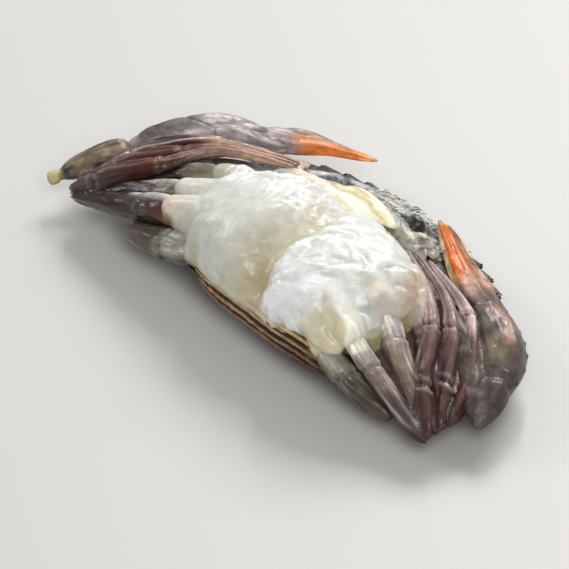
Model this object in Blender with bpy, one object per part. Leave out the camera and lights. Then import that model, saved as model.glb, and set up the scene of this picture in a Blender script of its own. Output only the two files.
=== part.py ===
"""A raw, dressed soft shell crab, lying on its back with its legs and claws folded in.

The crab is one solid. Its shell is underneath, the pale two-lobed breast is on top, four pairs of
legs fan out to the left and right and fold back along the front, and the two claws lie outside them
with their fingers pointing to the middle. +X is to the right of the breast, +Y is towards the cut
front edge of the shell, and +Z is up.
"""

import math

import bmesh
import bpy
from mathutils import Vector

MM = 0.001

# Driving dimensions, in millimetres. The crab is laid out around a point under its breast, and
# LAYOUT_CENTRE is the middle of the finished crab there, which becomes the origin.
LAYOUT_CENTRE = Vector((-7.43, 6.62, 0.0))
SHELL_WIDTH = 80.0
SHELL_FRONT = 27.5
SHELL_REAR = 18.5
SHELL_RIM_HEIGHT = 8.0
SHELL_FLAT_SHARE = 0.34
SHELL_LIP = 1.0
SHELL_INSIDE_RISE = 8.5
TOOTH_HEIGHT = 1.3
TOOTH_PITCH = math.pi / 22.0
BREAST_MIDDLE = Vector((-1.5, -4.0, 12.0))
BREAST_LEFT, BREAST_RIGHT = 30.0, 25.0
BREAST_FRONT, BREAST_REAR = 15.8, 15.0
BREAST_TOP, BREAST_BOTTOM = 26.0, 5.0
BREAST_FULLNESS, BREAST_LEFT_SLOPE, BREAST_SQUARENESS = 0.72, 0.3, 2.4
TROUGH_LINE = ((8.5, -3.6), (0.3, -0.9), (-5.1, -0.7), (-10.3, -2.4), (-13.8, -2.0), (-16.4, -0.6))
TROUGH_DEPTH, TROUGH_DEEPENING = 3.0, 0.1
TROUGH_LEFT_WIDTH, TROUGH_RIGHT_WIDTH = 5.5, 2.0
CREASE_PITCH, CREASE_HEIGHT, CREASE_SLANT = 6.5, 0.55, 0.18

# The walking legs, front to rear. Each joint is given for the first leg and for the last one, and
# those of the legs between them lie evenly between. The thigh runs out from hip to knee, and the
# rest of the leg comes back along the front of the breast from knee to tip.
WALKING_LEGS = 3
RIGHT, LEFT = 1, -1
THIGH = {
    RIGHT: (
        ((14.0, 6.0, 18.0), (10.5, -12.5, 19.0)),
        ((21.5, 3.2, 15.0), (20.0, -13.2, 15.7)),
        ((31.0, -3.0, 10.4), (28.5, -13.6, 10.6)),
        ((43.0, -9.5, 6.0), (42.6, -15.0, 5.0)),
    ),
    LEFT: (
        ((-24.0, 4.0, 15.5), (-19.0, -8.0, 15.5)),
        ((-34.0, 0.0, 14.5), (-30.3, -12.2, 14.6)),
        ((-42.0, -5.5, 12.0), (-40.6, -14.3, 11.2)),
        ((-52.4, -13.4, 8.6), (-54.6, -16.8, 6.4)),
    ),
}
STRAND = {
    RIGHT: (
        ((42.6, -9.2, 6.4), (42.2, -14.6, 5.6)),
        ((38.0, 0.0, 8.5), (34.0, -7.5, 11.8)),
        ((32.5, 6.0, 10.5), (28.6, -0.3, 15.2)),
        ((26.0, 11.0, 12.0), (21.0, 5.2, 17.2)),
        ((14.0, 12.4, 16.2), (10.8, 9.6, 18.6)),
    ),
    LEFT: (
        ((-54.4, -12.6, 8.0), (-55.4, -16.2, 6.6)),
        ((-50.5, -4.2, 11.5), (-49.4, -12.2, 11.2)),
        ((-44.0, 3.4, 14.0), (-42.0, -5.0, 15.0)),
        ((-35.6, 9.0, 15.6), (-35.2, 4.4, 17.4)),
        ((-22.5, 14.2, 16.5), (-20.0, 11.2, 18.6)),
    ),
}

# The radius of each piece of a limb, in millimetres: where it starts and where it ends.
HIP_RADII = {RIGHT: ((3.0, 2.5), (2.9, 2.4), (2.8, 2.1)), LEFT: ((3.0, 2.3), (3.2, 2.5), (3.6, 3.1))}
HIP_SHARE = {RIGHT: (0.50, 0.32, 0.35), LEFT: (0.30, 0.45, 0.40)}
THIGH_RADII = {RIGHT: ((2.5, 1.9), (2.3, 1.8), (2.0, 1.75)), LEFT: ((2.3, 1.35), (2.5, 1.35), (3.1, 1.4))}
THIGH_SWELLING = {RIGHT: 0.08, LEFT: 0.18}
WRIST_RADII = {RIGHT: (1.9, 2.0), LEFT: (1.6, 2.3)}
HAND_RADII = {RIGHT: (2.0, 1.8), LEFT: (2.3, 2.0)}
POINT_RADII = {RIGHT: (1.8, 0.8), LEFT: (1.9, 0.7)}
SWIMMING_THIGH_RADII = {RIGHT: (2.5, 1.8), LEFT: (3.0, 2.5)}
PADDLE_RADII = (2.6, 3.6)
CLAW_ARM_RADII = (3.6, 3.4)
CLAW_WRIST_RADII = (1.9, 3.8)
FINGER_RADII = {
    RIGHT: {"inner": (3.1, 1.1), "outer": (2.7, 0.9)},
    LEFT: {"inner": (2.7, 0.8), "outer": (2.4, 0.7)},
}
KNUCKLE_RADII = {"inner": 3.6, "outer": 3.2}
PALM_RADII = (5.8, 4.6)
PALM_HEIGHT_SHARE = 0.9
LIMB_HEIGHT_SHARE = 1.1
PADDLE_HEIGHT_SHARE = 0.4

# The low skin between the hips of a side: the leg numbers that it lies at, its size and its drop.
WEBS = {RIGHT: (0.5, 1.5, 2.3), LEFT: (0.5, 1.5)}
WEB_RADII = (3.0, 2.2)
WEB_DROP = {RIGHT: Vector((0.0, 0.0, -3.2)), LEFT: Vector((0.0, 0.0, -1.8))}

# The joints that only one limb has.
SWIMMING_THIGH = {
    RIGHT: ((7.0, -13.6, 13.0), (16.2, -16.3, 11.6), (25.5, -16.3, 8.0), (33.5, -15.2, 5.2)),
    LEFT: ((-14.0, -13.0, 12.0), (-22.0, -15.0, 11.5), (-29.5, -16.0, 9.6), (-38.5, -16.4, 7.6)),
}
PADDLE = {
    RIGHT: ((32.5, -14.4, 4.6), (35.5, -8.0, 4.4), (39.5, -1.5, 4.2)),
    LEFT: ((-36.5, -14.8, 6.6), (-41.5, -8.0, 4.8), (-47.0, -2.5, 3.6)),
}
CLAW = {
    RIGHT: {
        "arm": ((18.0, 9.0, 12.0), (32.0, 5.0, 9.0), (46.0, -5.5, 6.6)),
        "wrist": ((46.5, -6.5, 6.0), (44.0, 0.0, 7.0), (41.0, 4.0, 7.4)),
        "palm": ((43.5, 0.5, 6.8), (37.4, 9.3, 7.6), (30.5, 13.8, 8.4), (22.5, 16.0, 10.0)),
        "inner": ((24.0, 15.6, 10.8), (16.8, 18.0, 11.8), (10.2, 21.6, 12.2), (3.2, 25.8, 12.0)),
        "outer": ((25.5, 18.8, 9.4), (18.6, 20.4, 10.2), (11.4, 23.5, 10.8), (3.8, 26.4, 11.2)),
    },
    LEFT: {
        "arm": ((-20.0, 9.0, 12.0), (-36.0, 6.0, 10.6), (-57.0, -13.5, 6.4)),
        "wrist": ((-61.4, -17.2, 6.0), (-58.6, -9.0, 7.6), (-54.5, -2.0, 8.4)),
        "palm": ((-55.0, -3.0, 7.6), (-51.6, 7.0, 8.0), (-46.0, 15.2, 8.4), (-36.0, 20.2, 9.4)),
        "inner": ((-37.0, 20.4, 9.6), (-31.6, 25.2, 9.3), (-26.2, 28.8, 8.8), (-20.1, 32.3, 8.2)),
        "outer": ((-39.2, 23.6, 8.8), (-33.6, 27.1, 8.7), (-27.4, 29.8, 8.4), (-20.5, 32.7, 8.0)),
    },
}

# The folded skin that the tail flap left, a slab with folds one under the other on it, and the
# pieces in front: a smooth pad, the brow of flesh behind it, and the torn flesh of the body below.
FOLDS = 5
FOLD_LINE = ((-20.2, -15.6, 9.0), (-6.6, -17.2, 10.4), (8.0, -17.2, 10.2), (20.6, -15.2, 8.0))
FOLD_HALF_HEIGHT, FOLD_THICKNESS_SHARE = 4.6, 0.3
FOLD_RADIUS = 0.75
MOUTH_PAD = ((-12.5, 14.2, 16.6), (-8.5, 14.6, 17.3), (-2.3, 13.9, 17.8), (5.0, 13.2, 17.4))
MOUTH_PAD_RADII = (2.1, 2.5)
MOUTH_PAD_HEIGHT_SHARE = 0.5
BROW = ((-27.0, 6.6, 13.6), (-20.0, 10.2, 14.4), (-10.0, 11.2, 14.8), (8.0, 9.8, 14.2))
BROW_RADII = (3.3, 3.3)
TORN_EDGE = ((-27.0, 15.0, 11.0), (-16.0, 19.4, 11.4), (-2.0, 20.8, 11.6), (12.0, 18.0, 11.2))
TORN_EDGE_RADII = (3.2, 3.2)
TORN_BED = ((-26.0, 10.6, 11.6), (-14.0, 15.2, 12.8), (-2.0, 16.6, 13.0), (11.0, 14.6, 12.4))
TORN_BED_RADII = (3.0, 3.0)

TUBE_SIDES = 10
PALM_SIDES = 14
SOFT_WHITE = (0.75, 0.72, 0.62)
DARK_BROWN = (0.12, 0.075, 0.06)
ORANGE = (0.75, 0.16, 0.03)
OLIVE = (0.07, 0.075, 0.05)


def clear_scene():
    for obj in list(bpy.data.objects):
        bpy.data.objects.remove(obj, do_unlink=True)


def finish(obj, name, colour):
    """Gives a piece its wet, slightly glossy colour."""
    made = bpy.data.materials.get(name) or bpy.data.materials.new(name)
    made.use_nodes = True
    shader = made.node_tree.nodes["Principled BSDF"]
    shader.inputs["Base Color"].default_value = (*colour, 1.0)
    shader.inputs["Roughness"].default_value = 0.3
    shader.inputs["Metallic"].default_value = 0.0
    obj.data.materials.append(made)
    return obj


def mix(low, high, share):
    return low + (high - low) * share


def route(joints):
    """A smooth curve through the joints, as a function of the share t of the way along it."""
    points = [Vector(joint) for joint in joints]
    points = [2.0 * points[0] - points[1], *points, 2.0 * points[-1] - points[-2]]
    spans = len(points) - 3

    def place(t):
        span = min(int(t * spans), spans - 1)
        u = t * spans - span
        before, start, end, after = points[span : span + 4]
        first = (end - before) * u
        second = (2.0 * before - 5.0 * start + 4.0 * end - after) * u**2
        third = (3.0 * start - before - 3.0 * end + after) * u**3
        return start + 0.5 * (first + second + third)

    return place


def stretch(path, first, last):
    """The part of a path between two shares of it."""
    return lambda t: path(mix(first, last, t))


def rounded(t, power=3.0):
    """A tube's share of its full radius at t: blunt, closed ends and a full middle."""
    return max(0.0, 1.0 - abs(2.0 * t - 1.0) ** power) ** 0.5


def solid_from(name, bm):
    bmesh.ops.recalc_face_normals(bm, faces=bm.faces)
    mesh = bpy.data.meshes.new(name)
    bm.to_mesh(mesh)
    bm.free()
    obj = bpy.data.objects.new(name, mesh)
    bpy.context.collection.objects.link(obj)
    return obj


def tube(name, path, half_width, half_height, rings=9, sides=TUBE_SIDES):
    """A closed limb. path gives its middle line, and the two sizes its oval section, as functions of t."""
    bm = bmesh.new()
    step = 0.01
    loops = []
    for ring in range(1, rings):
        t = 0.5 - 0.5 * math.cos(math.pi * ring / rings)
        tangent = (path(min(1.0, t + step)) - path(max(0.0, t - step))).normalized()
        across = tangent.cross(Vector((0.0, 0.0, 1.0))).normalized()
        upward = across.cross(tangent)
        loop = []
        for side in range(sides):
            angle = 2.0 * math.pi * side / sides
            offset = across * half_width(t) * math.cos(angle) + upward * half_height(t) * math.sin(angle)
            loop.append(bm.verts.new((path(t) + offset) * MM))
        loops.append(loop)
    start, end = bm.verts.new(path(0.0) * MM), bm.verts.new(path(1.0) * MM)
    for near, far in zip(loops, loops[1:]):
        for side in range(sides):
            following = (side + 1) % sides
            bm.faces.new((near[side], near[following], far[following], far[side]))
    for side in range(sides):
        following = (side + 1) % sides
        bm.faces.new((loops[0][side], start, loops[0][following]))
        bm.faces.new((loops[-1][side], loops[-1][following], end))
    return solid_from(name, bm)


def limb(name, path, radii, height_share=1.0, power=3.0, rings=8, swollen=0.0, sides=TUBE_SIDES):
    """A limb segment whose radius changes evenly from one end to the other, swollen in its middle."""

    def half_width(t):
        return mix(*radii, t) * (1.0 + swollen * math.sin(math.pi * t)) * rounded(t, power)

    return tube(name, path, half_width, lambda t: half_width(t) * height_share, rings, sides)


def shell_outline(angle):
    """The shell's rim at this angle from +X: a wide oval with saw teeth along its front half."""
    x, y = math.cos(angle), math.sin(angle)
    depth = SHELL_FRONT if y > 0.0 else SHELL_REAR
    power = 2.3 if y < 0.0 else 2.1 if x > 0.0 else 2.6
    radius = (abs(x / (SHELL_WIDTH / 2.0)) ** power + abs(y / depth) ** power) ** (-1.0 / power)
    if y > 0.1:
        from_side = min(angle, math.pi - angle)
        radius -= TOOTH_HEIGHT * ((from_side / TOOTH_PITCH) % 1.0)
    return radius


def shell():
    """The back shell: a shallow bowl with a flat spot to rest on, closed by a low cone above its rim."""
    spokes, shares = 88, (0.2, SHELL_FLAT_SHARE, 0.5, 0.66, 0.8, 0.92, 1.0)
    bm = bmesh.new()
    below, above = [], []
    for share in shares:
        low, high = [], []
        for spoke in range(spokes):
            angle = 2.0 * math.pi * spoke / spokes
            radius = shell_outline(angle) * share
            x, y = radius * math.cos(angle), radius * math.sin(angle)
            climb = max(0.0, share - SHELL_FLAT_SHARE) / (1.0 - SHELL_FLAT_SHARE)
            low.append(bm.verts.new(Vector((x, y, SHELL_RIM_HEIGHT * climb**1.6)) * MM))
            if share < 1.0:
                height = SHELL_RIM_HEIGHT + SHELL_LIP + SHELL_INSIDE_RISE * (1.0 - share)
                high.append(bm.verts.new(Vector((x, y, height)) * MM))
        below.append(low)
        above.append(high or low)
    bm.faces.new(below[0])
    bm.faces.new(above[0])
    for levels in (below, above):
        for inner, outer in zip(levels, levels[1:]):
            for spoke in range(spokes):
                following = (spoke + 1) % spokes
                bm.faces.new((inner[spoke], inner[following], outer[following], outer[spoke]))
    return solid_from("shell", bm)


def trough_x(py):
    """Where the bottom of the trough lies, this far to the front."""
    rows = TROUGH_LINE
    if py >= rows[0][0]:
        return rows[0][1]
    for (front, start), (rear, end) in zip(rows, rows[1:]):
        if py >= rear:
            return mix(end, start, (py - rear) / (front - rear))
    return rows[-1][1]


def breast_point(x, y, z):
    """Where a point of the unit ball lies on the breast: a low dome with a trough between two lobes."""
    power = BREAST_SQUARENESS
    squarer = math.hypot(x, y) / max((abs(x) ** power + abs(y) ** power) ** (1.0 / power), 1e-9)
    px = BREAST_MIDDLE.x + squarer * x * (BREAST_LEFT if x < 0.0 else BREAST_RIGHT)
    py = BREAST_MIDDLE.y + squarer * y * (BREAST_REAR if y < 0.0 else BREAST_FRONT)
    if z <= 0.0:
        return Vector((px, py, BREAST_MIDDLE.z + (BREAST_MIDDLE.z - BREAST_BOTTOM) * z))
    leftwards = min(max((-x - 0.3) / 0.6, 0.0), 1.0)
    fullness = BREAST_FULLNESS + BREAST_LEFT_SLOPE * leftwards**2 * (3.0 - 2.0 * leftwards)
    top = BREAST_MIDDLE.z + (BREAST_TOP - BREAST_MIDDLE.z) * z**fullness
    off = px - trough_x(py)
    from_trough = off / (TROUGH_LEFT_WIDTH if off < 0.0 else TROUGH_RIGHT_WIDTH)
    depth = (TROUGH_DEPTH + TROUGH_DEEPENING * max(0.0, 3.0 - py)) * min(1.0, 2.0 * z)
    outwards = min(1.0, abs(from_trough) / 4.0)
    along = py + CREASE_SLANT * math.copysign(px, py - BREAST_MIDDLE.y)
    crease = CREASE_HEIGHT * outwards * math.cos(2.0 * math.pi * along / CREASE_PITCH) * z
    return Vector((px, py, top - depth * math.exp(-(from_trough**2)) + crease))


def breast():
    """The pale underside of the body, from a cube that is divided evenly and rounded into a ball."""
    bpy.ops.mesh.primitive_cube_add(size=2.0)
    obj = bpy.context.object
    obj.name = "breast"
    bpy.ops.object.mode_set(mode="EDIT")
    bpy.ops.mesh.subdivide(number_cuts=15)
    bpy.ops.object.mode_set(mode="OBJECT")
    for vertex in obj.data.vertices:
        vertex.co = breast_point(*vertex.co.normalized()) * MM
    return obj


def leg_route(joints, side, number):
    """The route of one walking leg, evenly between those of the first and the last one."""
    share = number / (WALKING_LEGS - 1)
    return route([mix(Vector(first), Vector(last), share) for first, last in joints[side]])


def walking_leg(side, number):
    """One folded leg: hip and thigh run outwards, and wrist, hand and point come back along the front."""
    thigh, strand = leg_route(THIGH, side, number), leg_route(STRAND, side, number)
    hip = HIP_SHARE[side][number]
    word = f"leg_{'right' if side == RIGHT else 'left'}_{number}"
    yield limb(f"{word}_hip", stretch(thigh, 0.0, hip + 0.02), HIP_RADII[side][number], power=9.0, rings=6)
    thigh_path = stretch(thigh, hip - 0.08, 1.0)
    swelling = THIGH_SWELLING[side]
    yield limb(f"{word}_thigh", thigh_path, THIGH_RADII[side][number], LIMB_HEIGHT_SHARE, 12.0, 8, swelling)
    yield limb(f"{word}_wrist", stretch(strand, 0.0, 0.27), WRIST_RADII[side], LIMB_HEIGHT_SHARE, 6.0, 6)
    yield limb(f"{word}_hand", stretch(strand, 0.22, 0.62), HAND_RADII[side], LIMB_HEIGHT_SHARE, 8.0, 7)
    yield limb(f"{word}_point", stretch(strand, 0.58, 1.0), POINT_RADII[side], power=8.0, rings=7)


def webs(side):
    """The low skin that joins the hips of one side."""
    for number in WEBS[side]:
        hip = stretch(leg_route(THIGH, side, number), 0.0, 0.34)
        path = route([hip(t) + WEB_DROP[side] for t in (0.0, 0.5, 1.0)])
        yield limb(f"web_{side}_{number}", path, WEB_RADII, power=5.0, rings=6, sides=8)


def swimming_leg(side):
    """The rear leg: it ends in a flat oval paddle."""
    word = f"swimming_{'right' if side == RIGHT else 'left'}"
    thigh = route(SWIMMING_THIGH[side])
    yield limb(f"{word}_thigh", thigh, SWIMMING_THIGH_RADII[side], LIMB_HEIGHT_SHARE, rings=9)
    yield limb(f"{word}_paddle", route(PADDLE[side]), PADDLE_RADII, PADDLE_HEIGHT_SHARE)


def claw(side):
    """A claw: an arm out to the elbow, a wrist, a swollen palm coming back, and two fingers."""
    joints = CLAW[side]
    word = f"claw_{'right' if side == RIGHT else 'left'}"

    yield limb(f"{word}_arm", route(joints["arm"]), CLAW_ARM_RADII)
    yield limb(f"{word}_wrist", route(joints["wrist"]), CLAW_WRIST_RADII, power=5.0, swollen=0.1)
    palm = route(joints["palm"])
    yield limb(f"{word}_palm", palm, PALM_RADII, PALM_HEIGHT_SHARE, 2.4, 11, 0.0, PALM_SIDES)
    knuckle = palm(0.78)
    for finger, radii in FINGER_RADII[side].items():
        path = route(joints[finger])
        yield limb(f"{word}_finger_{finger}", path, radii, power=5.0, rings=9)
        bridge = route((knuckle, mix(knuckle, path(0.15), 0.6), path(0.4)))
        yield limb(f"{word}_knuckle_{finger}", bridge, (KNUCKLE_RADII[finger], radii[0] * 0.75), 0.95, rings=6)


def rear_folds():
    """What is left of the tail flap: a slab of folded skin across the rear of the breast."""
    line = route(FOLD_LINE)
    thickness = FOLD_HALF_HEIGHT * FOLD_THICKNESS_SHARE

    def half_height(t):
        return FOLD_HALF_HEIGHT * rounded(t, 4.0)

    yield tube("rear_slab", line, lambda t: thickness * rounded(t, 4.0), half_height, 12)
    for fold in range(FOLDS):
        level = 1.0 - (2.0 * fold + 1.0) / FOLDS
        bulge = thickness * (1.0 - level**2) ** 0.5

        def path(t):
            rise = level * half_height(t)
            return line(t) + Vector((0.0, -bulge * rounded(t, 4.0), rise))

        yield limb(f"rear_fold_{fold}", path, (FOLD_RADIUS, FOLD_RADIUS), power=6.0, rings=12, sides=6)


def front_pieces():
    """In front of the breast: its brow with a smooth pale pad on it, and the torn flesh of the body below."""
    yield limb("mouth_pad", route(MOUTH_PAD), MOUTH_PAD_RADII, MOUTH_PAD_HEIGHT_SHARE, 1.7, 9)
    yield limb("brow", route(BROW), BROW_RADII, rings=10)
    yield limb("torn_edge", route(TORN_EDGE), TORN_EDGE_RADII, 0.9, rings=12)
    yield limb("torn_bed", route(TORN_BED), TORN_BED_RADII, rings=10)


def all_pieces():
    """The breast first, then what is joined to it."""
    pieces = [finish(breast(), "breast_skin", SOFT_WHITE), finish(shell(), "shell_skin", OLIVE)]
    pieces += [finish(piece, "cut_edge", SOFT_WHITE) for piece in (*rear_folds(), *front_pieces())]
    for side in (RIGHT, LEFT):
        for piece in claw(side):
            is_finger = "finger" in piece.name
            pieces.append(finish(piece, *(("finger", ORANGE) if is_finger else ("leg_skin", DARK_BROWN))))
        pieces += [finish(piece, "breast_skin", SOFT_WHITE) for piece in webs(side)]
        pieces += [finish(piece, "leg_skin", DARK_BROWN) for piece in swimming_leg(side)]
        for number in range(WALKING_LEGS):
            pieces += [finish(piece, "leg_skin", DARK_BROWN) for piece in walking_leg(side, number)]
    return pieces


def fuse(base, pieces):
    """Joins the pieces to the base as one solid."""
    group = bpy.data.collections.new("joined_pieces")
    bpy.context.scene.collection.children.link(group)
    for piece in pieces:
        for other in list(piece.users_collection):
            other.objects.unlink(piece)
        group.objects.link(piece)
    union = base.modifiers.new("join", "BOOLEAN")
    union.operation = "UNION"
    union.operand_type = "COLLECTION"
    union.collection = group
    union.solver = "MANIFOLD"
    bpy.ops.object.select_all(action="DESELECT")
    base.select_set(True)
    bpy.context.view_layer.objects.active = base
    bpy.ops.object.modifier_apply(modifier=union.name)
    for piece in pieces:
        bpy.data.objects.remove(piece, do_unlink=True)
    bpy.data.collections.remove(group)


def keep_largest_surface(bm):
    """Removes the small closed surfaces that the union leaves where limbs enclose a pocket."""
    waiting = set(bm.verts)
    surfaces = []
    while waiting:
        front = [waiting.pop()]
        surface = list(front)
        while front:
            for edge in front.pop().link_edges:
                for vertex in edge.verts:
                    if vertex in waiting:
                        waiting.remove(vertex)
                        front.append(vertex)
                        surface.append(vertex)
        surfaces.append(surface)
    surfaces.sort(key=len)
    for surface in surfaces[:-1]:
        bmesh.ops.delete(bm, geom=surface, context="VERTS")


def main():
    clear_scene()
    crab, *others = all_pieces()
    fuse(crab, others)
    crab.name = "soft_shell_crab"
    bm = bmesh.new()
    bm.from_mesh(crab.data)
    keep_largest_surface(bm)
    bmesh.ops.translate(bm, verts=bm.verts, vec=-LAYOUT_CENTRE * MM)
    bm.to_mesh(crab.data)
    bm.free()


main()
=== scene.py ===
"""A raw, dressed soft shell crab lying on its back: its finished surfaces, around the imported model."""

import math
import random

import bpy
import numpy as np
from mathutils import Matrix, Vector, noise


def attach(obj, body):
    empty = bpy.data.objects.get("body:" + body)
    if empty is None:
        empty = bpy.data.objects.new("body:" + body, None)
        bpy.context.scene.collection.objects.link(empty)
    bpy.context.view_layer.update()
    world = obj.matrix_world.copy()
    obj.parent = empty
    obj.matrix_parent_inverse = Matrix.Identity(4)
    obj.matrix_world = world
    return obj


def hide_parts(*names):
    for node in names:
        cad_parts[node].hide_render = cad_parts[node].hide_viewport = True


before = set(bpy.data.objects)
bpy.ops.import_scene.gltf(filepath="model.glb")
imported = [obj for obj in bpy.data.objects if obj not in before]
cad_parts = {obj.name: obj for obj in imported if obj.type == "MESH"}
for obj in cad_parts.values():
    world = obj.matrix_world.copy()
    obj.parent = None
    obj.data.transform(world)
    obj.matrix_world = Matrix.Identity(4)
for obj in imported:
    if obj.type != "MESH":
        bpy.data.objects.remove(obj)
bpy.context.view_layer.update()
bpy.ops.object.select_all(action="DESELECT")

# The stage: a pale matt table top, a soft window beyond the crab with one brighter pane, a side window
# on its left, and a light over the camera's shoulder. The camera looks down from its right rear corner.
MM = 0.001
LAYOUT_CENTRE = Vector((-7.43, 6.62, 0.0))  # of the layout that all these sizes and places are in
CAMERA_PLACE = (715.1, -672.3, 844.6)
CAMERA_AIM = (-2.5, -9.0, 12.0)
CAMERA_LENS, CAMERA_CLIP = 431.0, 0.05
FLOOR_SIZE, FLOOR_DROP = 8.0, 0.0001
TABLE_PALE, TABLE_ROUGHNESS = (0.53, 0.52, 0.5, 1.0), 0.45
ROOM_WHITE, ROOM_STRENGTH = (1.0, 0.99, 0.97, 1.0), 0.32
LIGHTS = (
    ("window", (-0.35, 0.95, 0.85), (0.55, 0.55), 9.0),
    ("window_pane", (-0.62, 0.72, 0.80), (0.12, 0.5), 4.0),
    ("side_window", (-0.9, -0.35, 0.7), (0.4, 0.4), 3.0),
    ("shoulder", (0.9, -0.6, 1.2), (0.8, 0.8), 13.0),
)


def at(point):
    """A point of the crab's layout, in millimetres, as metres in the model's frame."""
    return (Vector(point) - LAYOUT_CENTRE) * MM


bpy.ops.mesh.primitive_plane_add(size=FLOOR_SIZE, location=(0.0, 0.0, -FLOOR_DROP))
floor = bpy.context.object
floor.name = "floor"
table = bpy.data.materials.new("pale_table")
table.use_nodes = True
top = table.node_tree.nodes["Principled BSDF"]
top.inputs["Base Color"].default_value = TABLE_PALE
top.inputs["Roughness"].default_value = TABLE_ROUGHNESS
floor.data.materials.append(table)

bpy.ops.object.camera_add(location=at(CAMERA_PLACE))
camera = bpy.context.object
camera.rotation_euler = (at(CAMERA_AIM) - at(CAMERA_PLACE)).to_track_quat("-Z", "Y").to_euler()
camera.data.lens = CAMERA_LENS
camera.data.clip_start = CAMERA_CLIP
bpy.context.scene.camera = camera

for name, place, size, power in LIGHTS:
    bpy.ops.object.light_add(type="AREA", location=place)
    light = bpy.context.object
    light.name = name
    light.data.shape = "RECTANGLE"
    light.data.size, light.data.size_y = size
    light.data.energy = power
    light.rotation_euler = (-Vector(place)).to_track_quat("-Z", "Y").to_euler()

room = bpy.data.worlds.new("room")
bpy.context.scene.world = room
room.use_nodes = True
air = room.node_tree.nodes["Background"]
air.inputs["Color"].default_value = ROOM_WHITE
air.inputs["Strength"].default_value = ROOM_STRENGTH
bpy.context.scene.view_settings.view_transform = "Standard"
bpy.ops.object.select_all(action="DESELECT")

# The back shell: the crab's own new shell, still thin and soft, under everything else. It is an olive
# black bowl that the body lies in, sagged flat where it rests, with saw teeth along its cut front edge.
SHELL_WIDTH = 80.0
SHELL_FRONT = 27.5
SHELL_REAR = 18.5
SHELL_REAR_POWER, SHELL_RIGHT_POWER, SHELL_LEFT_POWER = 2.3, 2.1, 2.6
SHELL_SEGMENTS, SHELL_RINGS = 352, 90
SHELL_RIM_HEIGHT = 8.0
SHELL_FLAT_SHARE = 0.34
SHELL_LIP = 1.0
SHELL_INSIDE_RISE = 8.5
TOOTH_HEIGHT = 1.3
TOOTH_PITCH = math.pi / 22.0
SHELL_DARK = (0.010, 0.010, 0.007)
SHELL_OLIVE = (0.045, 0.038, 0.018)
SHELL_PURPLE = (0.085, 0.048, 0.042)


def points_of(obj):
    """The places of a mesh's points, in millimetres of the crab's layout, and their normals."""
    count = len(obj.data.vertices)
    places = np.empty(count * 3, np.float32)
    obj.data.vertices.foreach_get("co", places)
    normals = np.empty(count * 3, np.float32)
    obj.data.vertex_normals.foreach_get("vector", normals)
    return places.reshape(-1, 3) / MM + np.array(LAYOUT_CENTRE), normals.reshape(-1, 3)


def move_points(obj, places):
    """Puts a mesh's points at these places, in millimetres of the crab's layout."""
    places = (np.asarray(places) - np.array(LAYOUT_CENTRE)) * MM
    obj.data.vertices.foreach_set("co", places.astype(np.float32).ravel())
    obj.data.update()


def swell(obj, lifts):
    """Moves each point out along its normal, in millimetres. Nothing goes below the table."""
    places, normals = points_of(obj)
    places = places + normals * np.asarray(lifts)[:, None]
    places[:, 2] = np.maximum(places[:, 2], 0.0)
    move_points(obj, places)


def lumps(places, size, seed=0.0):
    """Smooth lumps of this size in millimetres: a number from -1 to 1 for each place."""
    scaled = np.asarray(places, float) / size + seed
    return np.array([noise.noise(Vector(place)) for place in scaled])


def eased(values, low, high):
    """0 below low, 1 above high, and a smooth step between them."""
    share = np.clip((np.asarray(values) - low) / (high - low), 0.0, 1.0)
    return share * share * (3.0 - 2.0 * share)


def faded(values, low, high):
    """1 below low, 0 above high, and a smooth step between them."""
    return 1.0 - eased(values, low, high)


def paint_points(obj, ground, coats):
    """Colours the points, as the "tint" that the wet skins read: a ground colour, and coats over it,
    each with its colour and how well it covers at each point, from 0 to 1."""
    colours = np.tile(ground, (len(obj.data.vertices), 1))
    for colour, cover in coats:
        colours = colours + (np.array(colour) - colours) * np.clip(cover, 0.0, 1.0)[:, None]
    rgba = np.ones((len(colours), 4), np.float32)
    rgba[:, :3] = np.clip(colours, 0.0, 1.0)
    layer = obj.data.attributes.new("tint", "FLOAT_COLOR", "POINT")
    layer.data.foreach_set("color", rgba.ravel())


def pick(*pieces):
    """Selects these pieces alone, and makes the first of them active."""
    bpy.ops.object.select_all(action="DESELECT")
    for piece in pieces:
        piece.select_set(True)
        bpy.context.view_layer.objects.active = pieces[0]


def settle(obj, skin):
    """Gives a piece its skin and smooth shading. It goes with the crab's one body."""
    obj.data.materials.append(skin.material)
    obj.data.shade_smooth()
    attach(obj, "root")
    pick()


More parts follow.
